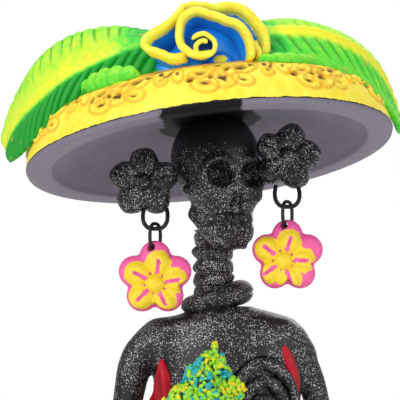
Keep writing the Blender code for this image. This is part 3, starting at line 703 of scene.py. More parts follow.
# Dabs of acrylic paint, thick and satin, over a near black ground that shows in the gaps
DABS, tree, shader = finish("dabbed_bouquet_paint", Roughness=0.45)
tint = add(tree, "Attribute", attribute_name="tint").outputs["Fac"]
tint = add(tree, "Math", {0: tint, 1: add(tree, "Math", {0: speckle(tree, 1.6, 3.0), 1: 0.5},
                                          operation="SUBTRACT")
                          .outputs[0]}, operation="ADD").outputs[0]
colours = add(tree, "ValToRGB", {0: tint}, stops=[(0.0, "#f6e224"), (0.34, "#f2df1e"), (0.38, "#a6e32c"),
                                                  (0.60, "#8fdc2f"), (0.64, "#19b9bd"), (1.0, "#0f9fb8")])
shade(tree, shader, Base_Color=colours.outputs[0], Normal=bump(tree, speckle(tree, 0.5, 4.0), 0.2, 0.7))
GROUND, tree, shader = finish("dark_ground_paint", Roughness=0.6)
shade(tree, shader, Base_Color=blend(tree, speckle(tree, 1.0), "#0b1210", "#15302a"))

rows = rounded(BLOOM, 5)
CORE_ROUND = 40
around = np.linspace(0, math.tau, CORE_ROUND, endpoint=False)
height, size = rows[:, :1], np.maximum(rows[:, 1:] - 1.0, 0.2)
lumps = 1 + 0.17 * np.sin(5 * around + height * 0.5) + 0.17 * np.sin(3 * around - height * 0.6)
points = np.stack([STEM_X + (height - 181) * 0.16 + size * lumps * np.cos(around),
                   STEM_Y + 0.3 + 0.78 * size * lumps * np.sin(around), height * np.ones(CORE_ROUND)],
                  axis=-1)
core = make("bouquet_core", points.reshape(-1, 3), quads(len(rows), CORE_ROUND, caps=True), [GROUND],
            stands_for=["bouquet_flowers"])

crumb_tree, start, end = geometry_tree("crumbs_on_core", [("Crumb Size", "Float"), ("Seed", "Int"),
                                                          ("Finish", "Material")])
spread = grow(crumb_tree, "GeometryNodeDistributePointsOnFaces", {
    "Mesh": start.outputs["Geometry"], "Distance Min": 0.0011, "Density Max": 1500000.0,
                                                                  "Seed": start.outputs["Seed"]},
    distribute_method="POISSON")
ball = grow(crumb_tree, "GeometryNodeMeshIcoSphere",
            {"Radius": start.outputs["Crumb Size"], "Subdivisions": 2})
rough = grow(crumb_tree, "ShaderNodeTexNoise", {"Scale": 620.0, "Detail": 3.0})
off = grow(crumb_tree, "ShaderNodeVectorMath", {0: rough.outputs["Color"], 1: (0.5, 0.5, 0.5)},
           operation="SUBTRACT")
off = grow(crumb_tree, "ShaderNodeVectorMath", {0: off.outputs[0], "Scale": 0.0030}, operation="SCALE")
crumb = grow(crumb_tree, "GeometryNodeSetPosition", {"Geometry": ball.outputs[0], "Offset": off.outputs[0]})
spin = grow(crumb_tree, "FunctionNodeRandomValue", {0: (0.0, 0.0, 0.0), 1: (6.28, 6.28, 6.28), "Seed": 3},
            data_type="FLOAT_VECTOR")
stretch = grow(crumb_tree, "FunctionNodeRandomValue", {0: (0.5, 0.45, 0.4), 1: (1.5, 1.2, 0.9), "Seed": 5},
               data_type="FLOAT_VECTOR")
placed = grow(crumb_tree, "GeometryNodeInstanceOnPoints", {
    "Points": spread.outputs["Points"], "Instance": crumb.outputs[0], "Rotation": spin.outputs[0],
    "Scale": stretch.outputs[0]})
drift = grow(crumb_tree, "ShaderNodeTexNoise", {"Scale": 220.0, "Detail": 1.0})
chance = grow(crumb_tree, "FunctionNodeRandomValue", {2: -0.2, 3: 0.2, "Seed": 11})
value = grow(crumb_tree, "ShaderNodeMath", {0: drift.outputs[0], 1: chance.outputs[1]}, operation="ADD")
tinted = grow(crumb_tree, "GeometryNodeStoreNamedAttribute", {
    "Geometry": placed.outputs[0], "Name": "tint", "Value": value.outputs[0]}, data_type="FLOAT",
              domain="INSTANCE")
real = grow(crumb_tree, "GeometryNodeRealizeInstances", {"Geometry": tinted.outputs[0]})
painted = grow(crumb_tree, "GeometryNodeSetMaterial", {"Geometry": real.outputs[0],
                                                       "Material": start.outputs["Finish"]})
crumb_tree.links.new(painted.outputs[0], end.inputs[0])
holder = bpy.data.objects.new("crumb_holder", core.data.copy())
bpy.context.scene.collection.objects.link(holder)
mesh = grown_mesh(holder, crumb_tree, "bouquet_crumbs",
                  **{"Crumb Size": CRUMB_SIZE * MM, "Seed": CRUMB_SEED,
                     "Finish": DABS})
bpy.data.objects.remove(holder)
mesh.shade_smooth()
crumbs = bpy.data.objects.new("bouquet_crumbs", mesh)
bpy.context.scene.collection.objects.link(crumbs)
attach(crumbs, "figure")

# Stems: a handful of rolled green strands, tied where she holds them
STEM_GREEN, tree, shader = finish("dark_green_stem_paint", Roughness=0.5)
shade(tree, shader, Base_Color=blend(tree, speckle(tree, 1.5, 4.0), "#0d4a17", "#2b8a2e"),
      Normal=bump(tree, speckle(tree, 0.5), 0.1, 0.5))
for i in range(7):
    a = math.tau * i / 6
    out = 0.0 if i == 6 else 1.0
    path = [(STEM_X - 2.5 + out * 2.5 * math.cos(a), STEM_Y + 0.5 + out * 2.3 * math.sin(a),
             150.4 + 0.5 * (i % 3)),
            (STEM_X - 1 + out * 1.8 * math.cos(a), STEM_Y + out * 1.8 * math.sin(a), 163),
            (STEM_X + out * 1.7 * math.cos(a), STEM_Y + out * 1.7 * math.sin(a), GRIP_Z),
            (STEM_X + 0.3 + out * 2.2 * math.cos(a), STEM_Y + out * 2.2 * math.sin(a), 183)]
    sweep(f"bouquet_stem_{i + 1}", rounded(path, 6).tolist(), 1.15, STEM_GREEN, sides=10,
          stands_for=["bouquet_stems"] if i == 0 else ())


# ---- hands ----
# Two bony hands of the black paste are pressed onto the stems: a palm at each side, four fingers curled
# round, and a thumb on top.
for word, side, middle in (("left", -1, (STEM_X - 7.6, STEM_Y, GRIP_Z)),
                           ("right", 1, (STEM_X + 7.6, STEM_Y, GRIP_Z))):
    x, y, z = space(np.array(middle) - (9.5, 7, 8), np.array(middle) + (9.5, 7, 8), 0.35)
    hand = egg(x, y, z, np.array(middle) + (side * 0.8, 0.4, 0), (3.3, 3.8, 5.4))
    for k in range(4):
        knuckle = np.array(middle) + (side * 0.2, -3.4, 3.7 - 2.5 * k)
        bend = np.array(middle) + (-side * 3.4, -4.2, 3.4 - 2.45 * k + 0.5 * side)
        tip = np.array(middle) + (-side * 5.6, -2.5, 3.2 - 2.4 * k + 0.5 * side)
        finger = np.minimum(rod(x, y, z, knuckle, bend, 1.35, 1.15), rod(x, y, z, bend, tip, 1.15, 0.95))
        hand = join(hand, finger, 0.5)
    thumb = rod(x, y, z, np.array(middle) + (side * 0.5, 2.6, 4.0),
                np.array(middle) + (-side * 3.2, 0.8, 6.4), 1.5, 1.2)
    points, faces = skin(join(hand, thumb, 0.8), (x, y, z))
    make(f"hand_{word}_modelled", points, faces, [PASTE_BLACK],
         stands_for=[f"hand_{word}"])


# ---- neck and roll ----
# The neck bones are a stack of paste rings threaded on the armature wire, and a thick rolled coil of the
# same paste is laid round its foot, higher at the right.
NECK_TOP, NECK_FOOT, NECK_RINGS, NECK_RADIUS, RING_GAP_DEPTH = 252.0, 227.0, 6, 6.0, 1.15
NECK_ROUND = 120
ring_height = (NECK_TOP - 1.0 - NECK_FOOT) / NECK_RINGS
heights = np.linspace(NECK_TOP - 0.3, NECK_FOOT, 110)
rounding = np.abs(np.sin(math.pi * (heights - NECK_FOOT) / ring_height)) ** 0.45
profile = np.stack([NECK_RADIUS - RING_GAP_DEPTH * (1 - rounding), heights], axis=1)
profile = np.vstack([[(1.9, heights[0])], profile, [(1.9, heights[-1])]])


def thumbed(turn, height):
    """The rings were rolled and pressed by hand, so none is quite round."""
    return 0.22 * np.sin(2 * turn + height * 0.9) + 0.12 * np.sin(5 * turn - height * 0.7)


points = spun(profile[::-1], NECK_ROUND, thumbed) + [wire_x, wire_y, 0]
points[..., 0] += 0.25 * np.sin(points[..., 2] * 1.3)
make("neck_rings", points.reshape(-1, 3), quads(len(profile), NECK_ROUND, wrap_rows=True), [PASTE_BLACK],
     stands_for=["neck_column"])

roll_low, roll_high = (np.array(corner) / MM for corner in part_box("neck_roll"))
ROLL_MIDDLE, ROLL_TIP = (0.8, 2.0, 231.4), -16.0
x, y, z = space(roll_low - 2, roll_high + 2, 0.4)
tip = math.radians(ROLL_TIP)
dx, dy, dz = x - ROLL_MIDDLE[0], y - ROLL_MIDDLE[1], z - ROLL_MIDDLE[2]
along, up = dx * math.cos(tip) - dz * math.sin(tip), dx * math.sin(tip) + dz * math.cos(tip)
turn = np.arctan2(dy, along)
away = np.hypot(along / 7.6, dy / 7.0) * 7.3 - 7.3
thick = 3.3 + 0.35 * np.cos(turn - 0.4) + 0.15 * np.sin(3 * turn)
coil = np.sqrt(away ** 2 + (up * 1.02) ** 2) - thick
# a crease where the coil was rolled flat against itself
coil = carve(coil, np.sqrt((away - 2.9) ** 2 + (up + 0.9 - 0.8 * np.sin(turn)) ** 2) - 0.42, 0.5)
coil = np.maximum(coil, 5.2 - np.hypot(x - wire_x, y - wire_y))
points, faces = skin(coil, (x, y, z))
make("neck_roll_coiled", points, faces, [PASTE_BLACK], stands_for=["neck_roll"])


# ---- skull ----
# A small skull modelled in the paste on the end of the wire: brow, sockets, cheek bones and a row of teeth
# pressed in with a tool. It is a plain skull of textbook proportions.
HEAD_PLACE, HEAD_TURN = (1.0, 1.5, 268.0), 28.0
skull_low, skull_high = (np.array(corner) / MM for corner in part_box("skull"))
px, py, pz = space(skull_low - 2.0, skull_high + (2.0, 2.0, 0.5), 0.38)
turn = math.radians(HEAD_TURN)
dx, dy, z = px - HEAD_PLACE[0], py - HEAD_PLACE[1], pz - HEAD_PLACE[2]
x, y = dx * math.cos(turn) + dy * math.sin(turn), dy * math.cos(turn) - dx * math.sin(turn)
mirror = np.abs(x)

skull = egg(x, y, z, (0, 1.0, 4.6), (13.2, 13.4, 14.6))  # braincase
skull = join(skull, egg(x, y, z, (0, -4.6, -5.0), (10.8, 8.6, 10.5)), 3.0)  # face
skull = join(skull, egg(x, y, z, (0, -6.2, -15.4), (7.6, 6.8, 7.4)), 2.5)  # jaws
skull = join(skull, rod(mirror, y, z, (7.9, -9.6, -6.4), (11.6, -3.6, -5.0), 1.9, 1.5), 1.6)  # cheek bones
skull = join(skull, rod(mirror, y, z, (8.2, -1.5, -12.0), (4.6, -10.0, -20.0), 2.1, 2.3), 2.2)  # jaw edge
ring = np.sqrt((np.hypot((mirror - 5.3) / 1.0, (z + 0.6) / 0.95) - 4.7) ** 2
               + (y + 11.4 - 0.10 * (mirror - 5) ** 2 * 0.5) ** 2)
skull = join(skull, ring - 1.25, 1.4)  # rims of the sockets
skull = carve(skull, egg(mirror, y, z, (12.0, -6.2, -12.4), (3.0, 5.0, 4.2)), 2.2)  # hollow cheeks
skull = carve(skull, egg(mirror, y, z, (5.3, -12.6, -0.6), (3.9, 6.2, 3.7)), 0.9)  # eye sockets
nose = egg(mirror, y, z, (1.15 - 0.12 * (z + 8), -13.4, -8.2), (1.15, 3.4, 2.5))
skull = carve(skull, nose, 0.5)
teeth_front = np.sqrt((x / 1.0) ** 2 + (y + 6.6) ** 2)
tooth = np.abs(np.sin(math.pi * (np.arctan2(x, -(y + 6.6)) * 7.2) / 2.05))
row = np.maximum(np.abs(z + 14.9) - 2.6, teeth_front - 7.2 - 0.25 * tooth ** 0.5)
row = np.maximum(row, y + 8.6)
skull = join(skull, row, 0.5)
skull = carve(skull, np.maximum(np.maximum(np.abs(z + 14.9) - 0.34, 6.2 - teeth_front), y + 7.5),
              0.4)  # bite line
skull = carve(skull, np.maximum(np.maximum(tooth * 0.65 - 0.14, np.abs(z + 14.9) - 2.6),
                                np.maximum(6.5 - teeth_front, y + 8.2)), 0.3)
# the jaw is flattened where the right earring swings past it
EARRING_SPACE, EARRING_ROOM = (21.4, -8.2, 243.6), (12.0, 6.0)
swing_room = np.maximum(np.hypot(px - EARRING_SPACE[0], pz - EARRING_SPACE[2]) - EARRING_ROOM[0],
                        np.abs(py - EARRING_SPACE[1]) - EARRING_ROOM[1])
skull = carve(skull, swing_room, 0.8)
# the top is pressed up into the hat
hat_under = np.interp(np.hypot(px + 1.0, py), [0, 14, 28],
                      [283.6, 283.2, 281.4]) + (px + 1.0) * 0.122 - py * 0.16
skull = np.maximum(skull, pz - hat_under + 0.2)
skull = np.maximum(skull, -(np.maximum(np.hypot(px - wire_x, py - wire_y) - 1.55, pz - 272.0)))
points, faces = skin(skull, (px, py, pz))
# painted shadow of the hat: no glitter on the top of the skull
FACE_BLACK = glitter_paint("glitter_varnished_black_paste_hat_shadow_on_top", hat_shadow_above=274.0)
make("skull_modelled", points, faces, [FACE_BLACK], stands_for=["skull"])


# ---- ear flowers ----
# Two puffed five-petal flowers of the black paste cover her ears. Each petal is creased with a tool from
# the middle outwards, and a ball is pressed in for the button.
def smooth(value, low, high):
    """0 up to the low value, 1 from the high one, and an even ease between."""
    t = np.clip((value - low) / (high - low), 0, 1)
    return t * t * (3 - 2 * t)


def flower_form(x, y, z, radius, thick, spin, crease, soft=0.7, petals=5):
    """Distance to a puffed flower that faces -Y: petals round a button, creased along their middles."""
    form = egg(x, y, z, (0, 0, 0), (radius * 0.42, thick * 0.8, radius * 0.42))
    for k in range(petals):
        a = math.radians(spin + 90 + 360 * k / petals)
        across, along = x * math.sin(a) - z * math.cos(a), x * math.cos(a) + z * math.sin(a)
        petal = egg(across, y, along, (0, 0, radius * 0.57), (radius * 0.43, thick, radius * 0.44))
        form = join(form, petal, soft)
    for k in range(petals):
        a = math.radians(spin + 90 + 360 * k / petals)
        across, along = x * math.sin(a) - z * math.cos(a), x * math.cos(a) + z * math.sin(a)
        for aside, reach, deep in crease:
            form = carve(form, rod(across, y, along, (aside * 0.3, -thick * 0.92, radius * 0.3),
                                   (aside, -thick * 0.9, radius * reach), deep), 0.45)
    return form


for word, middle, radius, spin in (("left", (-20.4, -5.5, 265.2), 10.2, 0.0),
                                   ("right", (21.6, -5.5, 272.8), 9.8, 12.0)):
    x, y, z = space(np.array(middle) - (11.5, 5.5, 11.5), np.array(middle) + (11.5, 5.5, 11.5), 0.38)
    dx, dy, dz = x - middle[0], y - middle[1], z - middle[2]
    creases = ((0.0, 0.86, 0.60), (-1.8, 0.80, 0.42), (1.8, 0.80, 0.42))
    form = flower_form(dx, dy, dz, radius, 3.7, -spin, creases)
    ridge = 0.2 * np.sin(11 * np.arctan2(dz, dx) + 1.5 * np.sin(3 * np.arctan2(dz, dx)))
    form = form - ridge * np.clip((np.hypot(dx, dz) - 3) / 4, 0, 1) * (dy < 0)
    button = egg(dx, dy, dz, (0, -2.6, 0), (2.5, 2.1, 2.5))
    form = np.minimum(form, button)
    points, faces = skin(form, (x, y, z))
    make(f"ear_flower_{word}_modelled", points, faces, [PASTE_BLACK],
         stands_for=[f"ear_flower_{word}"])


# ---- staples and links ----
# Each earring hangs from a U of black annealed wire pushed into the ear flower. An oval link of the same
# wire runs on the staple's bar, and the painted flower runs on the link.
STAPLE_WIRE, LINK_WIRE = 0.62, 0.52
STAPLE_HALF, STAPLE_RISE = 3.6, 6.2
LINK_HALF_WIDE, LINK_HALF_TALL, LINK_TURN = 2.75, 3.6, math.radians(32.0)
LINK_DROP = LINK_HALF_TALL - LINK_WIRE - 0.3 - STAPLE_WIRE
BARS = {"left": np.array((-17.0, -8.2, 251.6)), "right": np.array((21.4, -8.2, 258.0))}
for word, bar in BARS.items():
    legs = [(-STAPLE_HALF * 0.9, 2.2, STAPLE_RISE), (-STAPLE_HALF, 0.9, 4.0),
            (-STAPLE_HALF * 0.93, 0.1, 1.9),
            (-STAPLE_HALF * 0.62, 0, 0.4), (-STAPLE_HALF * 0.2, 0, 0)]
    bend = rounded(legs + [(-x, y, z) for x, y, z in legs[::-1]], 7) + bar
    sweep(f"staple_{word}_bent", bend.tolist(), STAPLE_WIRE, WIRE,
          stands_for=[f"staple_{word}"])
    a = np.linspace(0, math.tau, 64, endpoint=False)
    across = np.sign(np.cos(a)) * np.abs(np.cos(a)) ** 0.75 * LINK_HALF_WIDE
    tall = np.sign(np.sin(a)) * np.abs(np.sin(a)) ** 0.75 * LINK_HALF_TALL - LINK_DROP
    oval = np.stack([across * math.sin(LINK_TURN), across * math.cos(LINK_TURN), tall], axis=1) + bar
    sweep(f"earring_link_{word}_bent", oval.tolist(), LINK_WIRE, WIRE, cyclic=True, body=f"link_{word}",
          stands_for=[f"earring_link_{word}"])


# ---- earring flowers ----
# Puffed five-petal flowers, painted bright pink all over and then yellow on the raised front of each petal
# and the button, so pink stays in the slit of each petal, between them, and on the sides. The pink is
# darkened in the hollows as painted shade.
HOLE_FROM_MIDDLE, PENDANT_THICK = 8.6, 3.1
PENDANT_PAINT, tree, shader = finish("pink_and_yellow_matt_paint", Roughness=0.5, Specular_IOR_Level=0.4)
face = add(tree, "Attribute", attribute_name="face").outputs["Fac"]
ragged = add(tree, "Math", {0: add(tree, "Math", {0: speckle(tree, 0.8, 4.0), 1: 0.5},
                                   operation="SUBTRACT").outputs[0],
                            1: 0.5}, operation="MULTIPLY").outputs[0]
face = add(tree, "Math", {0: face, 1: ragged}, operation="ADD").outputs[0]
covered = add(tree, "ValToRGB", {0: face}, stops=[(0.44, 0.0), (0.54, 1.0)]).outputs[0]
pink = blend(tree, speckle(tree, 2.0, 4.0), "#f04795", "#fb78b4")
yellow = blend(tree, speckle(tree, 1.0, 5.0), "#f3b914", "#fbef3c")
# painted shade: the pink is multiplied darker in the hollows, read from the surface's pointiness
hollow_shade = add(tree, "ValToRGB", {0: add(tree, "NewGeometry").outputs["Pointiness"]},
           stops=[(0.43, "#94114f"), (0.50, "#ffffff")]).outputs[0]
pink = add(tree, "Mix", {0: 0.8, 6: pink, 7: hollow_shade}, data_type="RGBA", blend_type="MULTIPLY").outputs[2]
shade(tree, shader, Base_Color=blend(tree, covered, pink, yellow),
      Normal=bump(tree, speckle(tree, 0.5, 4.0), 0.10, 0.6))
for word, spin in (("left", 0.0), ("right", 0.0)):
    hook = BARS[word] - (0, 0, LINK_DROP + LINK_HALF_TALL)
    middle = hook - (0, 0, HOLE_FROM_MIDDLE)
    radius = 10.8 if word == "left" else 10.5
    x, y, z = space(middle - (12.5, 5.2, 12.5), middle + (12.5, 5.2, 12.5), 0.38)
    dx, dy, dz = x - middle[0], y - middle[1], z - middle[2]
    form = flower_form(dx, dy, dz, radius, PENDANT_THICK, spin, ())
    outline = flower_form(dx, 0 * dy, dz, radius, PENDANT_THICK, spin, ())
    form = join(form, egg(dx, dy - 0.8, dz, (0, 0, 0), (radius * 0.76, PENDANT_THICK * 0.8, radius * 0.76)),
                0.8)
    face_x, face_z = (0.0, -1.6) if word == "left" else (-1.3, -1.4)
    tilt = -10.0 if word == "left" else -18.0
    paint = np.full(form.shape, -9.0)
    for k in range(5):
        a = math.radians(tilt + 90 + 72 * k)
        across = (dx - face_x) * math.sin(a) - (dz - face_z) * math.cos(a)
        along = (dx - face_x) * math.cos(a) + (dz - face_z) * math.sin(a)
        petal = egg(across, dy, along, (0, -1.5, radius * 0.55), (radius * 0.32, 2.7, radius * 0.35))
        form = join(form, np.maximum(petal, outline + 0.7), 0.35)
        slit = rod(across, dy, along, (0, -4.4, radius * 0.28), (0, -4.1, radius * 0.60), 0.95, 0.60)
        form = carve(form, slit, 0.4)
        narrow = radius * 0.35 * smooth(along, -radius * 0.15, radius * 0.5)
        flat = (1 - np.hypot(across / (narrow + 0.01), (along - radius * 0.53) / (radius * 0.365))) * 2.6
        paint = np.maximum(paint, np.minimum(flat, (np.hypot(across, np.clip(abs(along - radius * 0.45)
                                                                             - radius * 0.17, 0, 9)) - 0.66)
                                             * 1.6))
    button = egg(dx, dy, dz, (face_x, -2.5, face_z), (2.7, 2.3, 2.7))
    form = np.minimum(form, button)
    paint = np.maximum(paint, (1 - np.hypot(dx - face_x, dz - face_z) / 2.7) * 3.0)
    way = np.array((math.sin(LINK_TURN), math.cos(LINK_TURN), 0)) * 12
    eye = hook + (0, 0, 0.15)
    form = carve(form, rod(x, y, z, eye - way, eye + way, 1.12), 0.2)
    points, faces = skin(form, (x, y, z))
    spot = points - middle
    cells = np.clip(np.rint((points - [x.flat[0], y.flat[0], z.flat[0]]) / 0.38).astype(int), 0,
                    np.array(form.shape) - 1)
    mark = 0.5 + 0.9 * paint[tuple(cells.T)]
    mark = np.where(spot[:, 1] < -1.7, mark, 0.0)
    make(f"earring_flower_{word}_painted", points, faces, [PENDANT_PAINT], body=f"pendant_{word}",
         stands_for=[f"earring_flower_{word}"], marks={"face": np.clip(mark, 0, 1)})


# ---- hat ----
# A wide dish of papier-mache layers. Its brim carries a band of paste with flowers of coiled rings, pits and
# slits made with a stick while wet. The band is painted yellow, with painted shade in ochre round the rings
# and in the hollows and in brown in the pits; the underside is lavender grey with a painted highlight on its
# lip near the rim, and black round the head.
HAT_PLACE, HAT_TIP, HAT_ROLL = (-1.0, 0.0, 273.6), 9.2, 7.0
HAT_TOP = [(0, 33), (9, 32.2), (17, 29), (22, 23.5), (25.5, 17.5), (30, 15.2), (40, 14.8), (45.5, 14.2),
           (49.3, 12.2), (52, 8.6), (53.8, 4), (54.4, 0.7)]
HAT_UNDER = [(54.4, 0.7), (54, -0.3), (52.5, -0.7), (47.5, -0.45), (47.0, -0.3), (46.6, 0.3), (44.5, 1.3),
             (38, 5),
             (28, 8.2), (14, 10), (0.01, 10.4)]
BAND_MIDDLE, FIRST_FLOWER, FLOWER_PLACES, BAND_RADIUS = 7.9, -27.0, 11, 52.0
hat_frame = (Matrix.Translation(HAT_PLACE)
             @ Euler((math.radians(-HAT_TIP), math.radians(-HAT_ROLL), 0)).to_matrix().to_4x4())


def placed_on(frame_matrix, points):
    """Points of a frame, in millimetres, moved to their place on the figure."""
    turn, place = np.array(frame_matrix.to_3x3()), np.array(frame_matrix.translation)
    return np.asarray(points) @ turn.T + place


top = rounded(HAT_TOP, 14)[::-1]
along = np.concatenate([[0], np.cumsum(np.hypot(*np.diff(top, axis=0).T))])
fine = np.concatenate([np.arange(0.0, 17.0, 0.40), np.linspace(17.0, along[-1], 36)])
top = np.stack([np.interp(fine, along, top[:, 0]), np.interp(fine, along, top[:, 1])], axis=1)
top[-1, 0] = 0.01
under = []
for a, b in zip(np.array(HAT_UNDER), np.array(HAT_UNDER)[1:]):
    steps = max(1, int(np.hypot(*(b - a)) / 1.6))
    under += [a + (b - a) * k / steps for k in range(1, steps + 1)]
profile = np.vstack([np.array(under)[::-1], top])
runs = np.concatenate([-np.arange(len(under), 0, -1) * 1.0, fine])
HAT_ROUND = 880
turn = np.linspace(0, math.tau, HAT_ROUND, endpoint=False)
degrees = (np.degrees(turn) + 90 + 180) % 360 - 180           # 0 at the front, positive to the right
points = spun(profile, HAT_ROUND)

# rings laid round each flower's middle: place, half width, half height (mm), tilt (degrees)
FLOWER_RINGS = [(0, -0.6, 3.0, 2.7, 0), (-5.7, 1.9, 2.6, 1.5, 12), (-5.2, -2.2, 2.6, 1.7, -12),
                (5.6, 2.6, 3.5, 1.6, 18), (-0.9, 4.6, 2.2, 1.2, 0), (5.2, -2.0, 1.9, 1.3, -20)]
# pits: place, half width, half height, tilt
FLOWER_PITS = [(0.1, -0.2, 0.35, 1.0, 25), (8.9, 3.9, 0.75, 0.75, 0), (2.0, 3.0, 0.9, 0.5, 40),
               (-8.8, 0.3, 0.8, 0.6, 0),
               (-3.1, 0.1, 0.5, 0.5, 0), (5.4, 3.2, 1.2, 0.35, 18), (-5.7, 1.9, 0.9, 0.3, 12),
               (12.8, 4.8, 0.6, 0.75, 0),
               (13.3, 2.9, 0.45, 0.45, 0)]
SMALL_RINGS = [(13.1, 1.0, 1.1, 1.0, 0), (-12.0, 3.0, 0.9, 1.6, 10)]
RING_LIFT, RING_HALF, PIT_DEPTH = 0.85, 0.5, 1.1
STICK_SLITS = [(-14.6, 4.2, 0.28, 1.7, -30), (11.2, 6.6, 1.6, 0.25, 10)]
band = (runs > -0.5) & (runs < 17.0)
height, ochre_shade, pit_shade = (np.zeros((band.sum(), HAT_ROUND)) for _ in range(3))
run = runs[band][:, None]
random = np.random.default_rng(12)
for place in range(FLOWER_PLACES):
    middle = FIRST_FLOWER + place * 360 / FLOWER_PLACES
    away = np.radians((degrees - middle + 180) % 360 - 180)[None, :] * BAND_RADIUS
    near = np.abs(away[0]) < 19
    lift, ochre_shading, dark = (np.zeros((band.sum(), near.sum())) for _ in range(3))

    def oval(cx, cy, half_x, half_y, tilt):
        cx, cy = np.array((cx, cy)) + random.uniform(-0.3, 0.3, 2)
        a = math.radians(tilt + random.uniform(-8, 8))
        dx, dy = away[:, near] - cx, (run - BAND_MIDDLE) - cy * 0.95
        px, py = dx * math.cos(a) + dy * math.sin(a), dy * math.cos(a) - dx * math.sin(a)
        return (np.sqrt((px / half_x) ** 2 + (py / half_y) ** 2) - 1) * min(half_x, half_y)

    # painted shade: ochre is marked round each ring and inside it and dark in its slot; pits and slits are
    # marked dark with ochre round them
    for cx, cy, half_x, half_y, tilt in FLOWER_RINGS + SMALL_RINGS:
        edge = oval(cx, cy, half_x, half_y, tilt)
        lift = np.maximum(lift * (edge > -0.2), RING_LIFT
                          * np.exp(-(edge / RING_HALF) ** 2)) - 0.3 * (edge < -0.6)
        ochre_shading = np.maximum(ochre_shading, np.exp(-((edge - 0.8) / 0.3) ** 2) * 1.15)
        ochre_shading = np.maximum(ochre_shading, 0.35 * (edge < -0.6))
        slot = oval(cx, cy, half_x * 0.42, half_y * 0.26, tilt)
        dark = np.maximum(dark, 1 / (1 + np.exp(np.clip(slot / 0.1, -30, 30))))
        ochre_shading = np.maximum(ochre_shading, np.exp(-np.clip(slot, 0, 9) / 0.3))
    for cx, cy, half_x, half_y, tilt in FLOWER_PITS + STICK_SLITS:
        edge = oval(cx, cy, half_x, half_y, tilt)
        hole = 1 / (1 + np.exp(np.clip(edge / 0.13, -30, 30)))
        lift = lift * (1 - hole) - PIT_DEPTH * hole
        dark = np.maximum(dark, 1 / (1 + np.exp(np.clip((edge - 0.05) / 0.12, -30, 30))))
        ochre_shading = np.maximum(ochre_shading, np.exp(-np.clip(edge, 0, 9) / 0.5))
    height[:, near] += lift
    ochre_shade[:, near] = np.maximum(ochre_shade[:, near], ochre_shading)
    pit_shade[:, near] = np.maximum(pit_shade[:, near], dark)

lumps = fractal(points[band][:, ::4], 3.2, 1.0, 4)
lumps = np.stack([np.interp(np.arange(HAT_ROUND), np.arange(0, HAT_ROUND, 4), row) for row in lumps])
rim_fade = np.clip((run - 0.8) / 1.2, 0, 1) * np.clip((16.6 - run) / 1.5, 0, 1)
shoulder_fade = np.clip((13.5 - run) / 3.0, 0.15, 1)
height = height * rim_fade * shoulder_fade + 0.16 * lumps * np.clip(run, 0, 1)
slope = np.gradient(profile, axis=0)
slope /= np.linalg.norm(slope, axis=1)[:, None]
out = np.stack([slope[:, 1], -slope[:, 0]], axis=1)[band]
points[band] += (height[..., None] * np.stack([out[:, :1] * np.cos(turn), out[:, :1] * np.sin(turn),
                                               out[:, 1:] * np.ones(HAT_ROUND)], axis=-1))
shape = (len(profile), HAT_ROUND)
marks = {name: np.zeros(shape) for name in ("ochre_shade", "pit_shade")}
marks["ochre_shade"][band], marks["pit_shade"][band] = ochre_shade * rim_fade, pit_shade * rim_fade
marks["run"] = runs[:, None] * np.ones(HAT_ROUND)
marks["lip"] = ((profile[:, 0] > 46.8) & (runs < 0))[:, None] * np.ones(HAT_ROUND)
points = placed_on(hat_frame, points)
# the black round the head: distance from a strip that runs from the head to the front rim
sx, sy = points[..., 0] + 1.2, points[..., 1]
half = np.where(sx < 0, 13.4, np.interp(sy, [-50, -14, 2], [8.6, 10.5, 15.5]))
strip = np.where(sy > 1.5, np.hypot(sx, sy - 1.5) - 15.0, np.abs(sx) - half)
marks["headward"] = 0.5 - strip / 12

# Yellow: thick matt poster paint, orange on the upper edge, and painted shade: ochre and dark amber in the
# hollows and round the rings, and brown in the pits
HAT_YELLOW, tree, shader = finish("yellow_poster_paint_ochre_shaded", Roughness=0.48, Specular_IOR_Level=0.4)
mottle = speckle(tree, 2.6, 5.0, 0.6)
fine_grain = speckle(tree, 0.45, 3.0)
yellow = blend(tree, add(tree, "ValToRGB", {0: mottle}, stops=[(0.35, 0.0), (0.65, 1.0)]).outputs[0],
               "#fbe030", "#fff252")
# painted shade: ochre, then dark amber, in the hollows and round the rings
ochre_shading = add(tree, "Math", {0: add(tree, "Attribute", attribute_name="ochre_shade").outputs["Fac"],
                           1: add(tree, "MapRange", {0: mottle, 3: 0.35, 4: 1.1}).outputs[0]},
            operation="MULTIPLY").outputs[0]
deeper = add(tree, "Math", {0: ochre_shading, 1: 0.75}, operation="SUBTRACT", use_clamp=True).outputs[0]
yellow = blend(tree, add(tree, "Math", {0: ochre_shading, 1: 1.0}, operation="MINIMUM").outputs[0], yellow,
               "#eba012")
yellow = blend(tree, deeper, yellow, "#7a4206")
run_mark = add(tree, "Attribute", attribute_name="run").outputs["Fac"]
ragged = add(tree, "Math", {0: run_mark, 1: add(tree, "MapRange",
                                                {0: speckle(tree, 2.2, 3.0), 3: -0.5, 4: 0.5})
                            .outputs[0]}, operation="ADD").outputs[0]
edge = add(tree, "ValToRGB", {0: add(tree, "MapRange", {0: ragged, 1: 12.0, 2: 20.0}).outputs[0]},
           stops=[(0.18, 0.0), (0.34, 1.0), (0.55, 1.0), (0.70, 0.0)]).outputs[0]
yellow = blend(tree, add(tree, "Math", {0: edge, 1: 0.8}, operation="MULTIPLY").outputs[0], yellow,
               "#e5973f")
# painted shade: brown in the pits and slots
yellow = blend(tree, add(tree, "Attribute", attribute_name="pit_shade").outputs["Fac"], yellow, "#2e1a06")
line = add(tree, "ValToRGB", {0: add(tree, "MapRange", {0: ragged, 1: 0.0, 2: 1.0}).outputs[0]},
           stops=[(0.30, 0.0), (0.42, 1.0)]).outputs[0]
shade(tree, shader, Base_Color=blend(tree, line, "#141216", yellow),
      Normal=bump(tree, fine_grain, 0.12, 0.6))
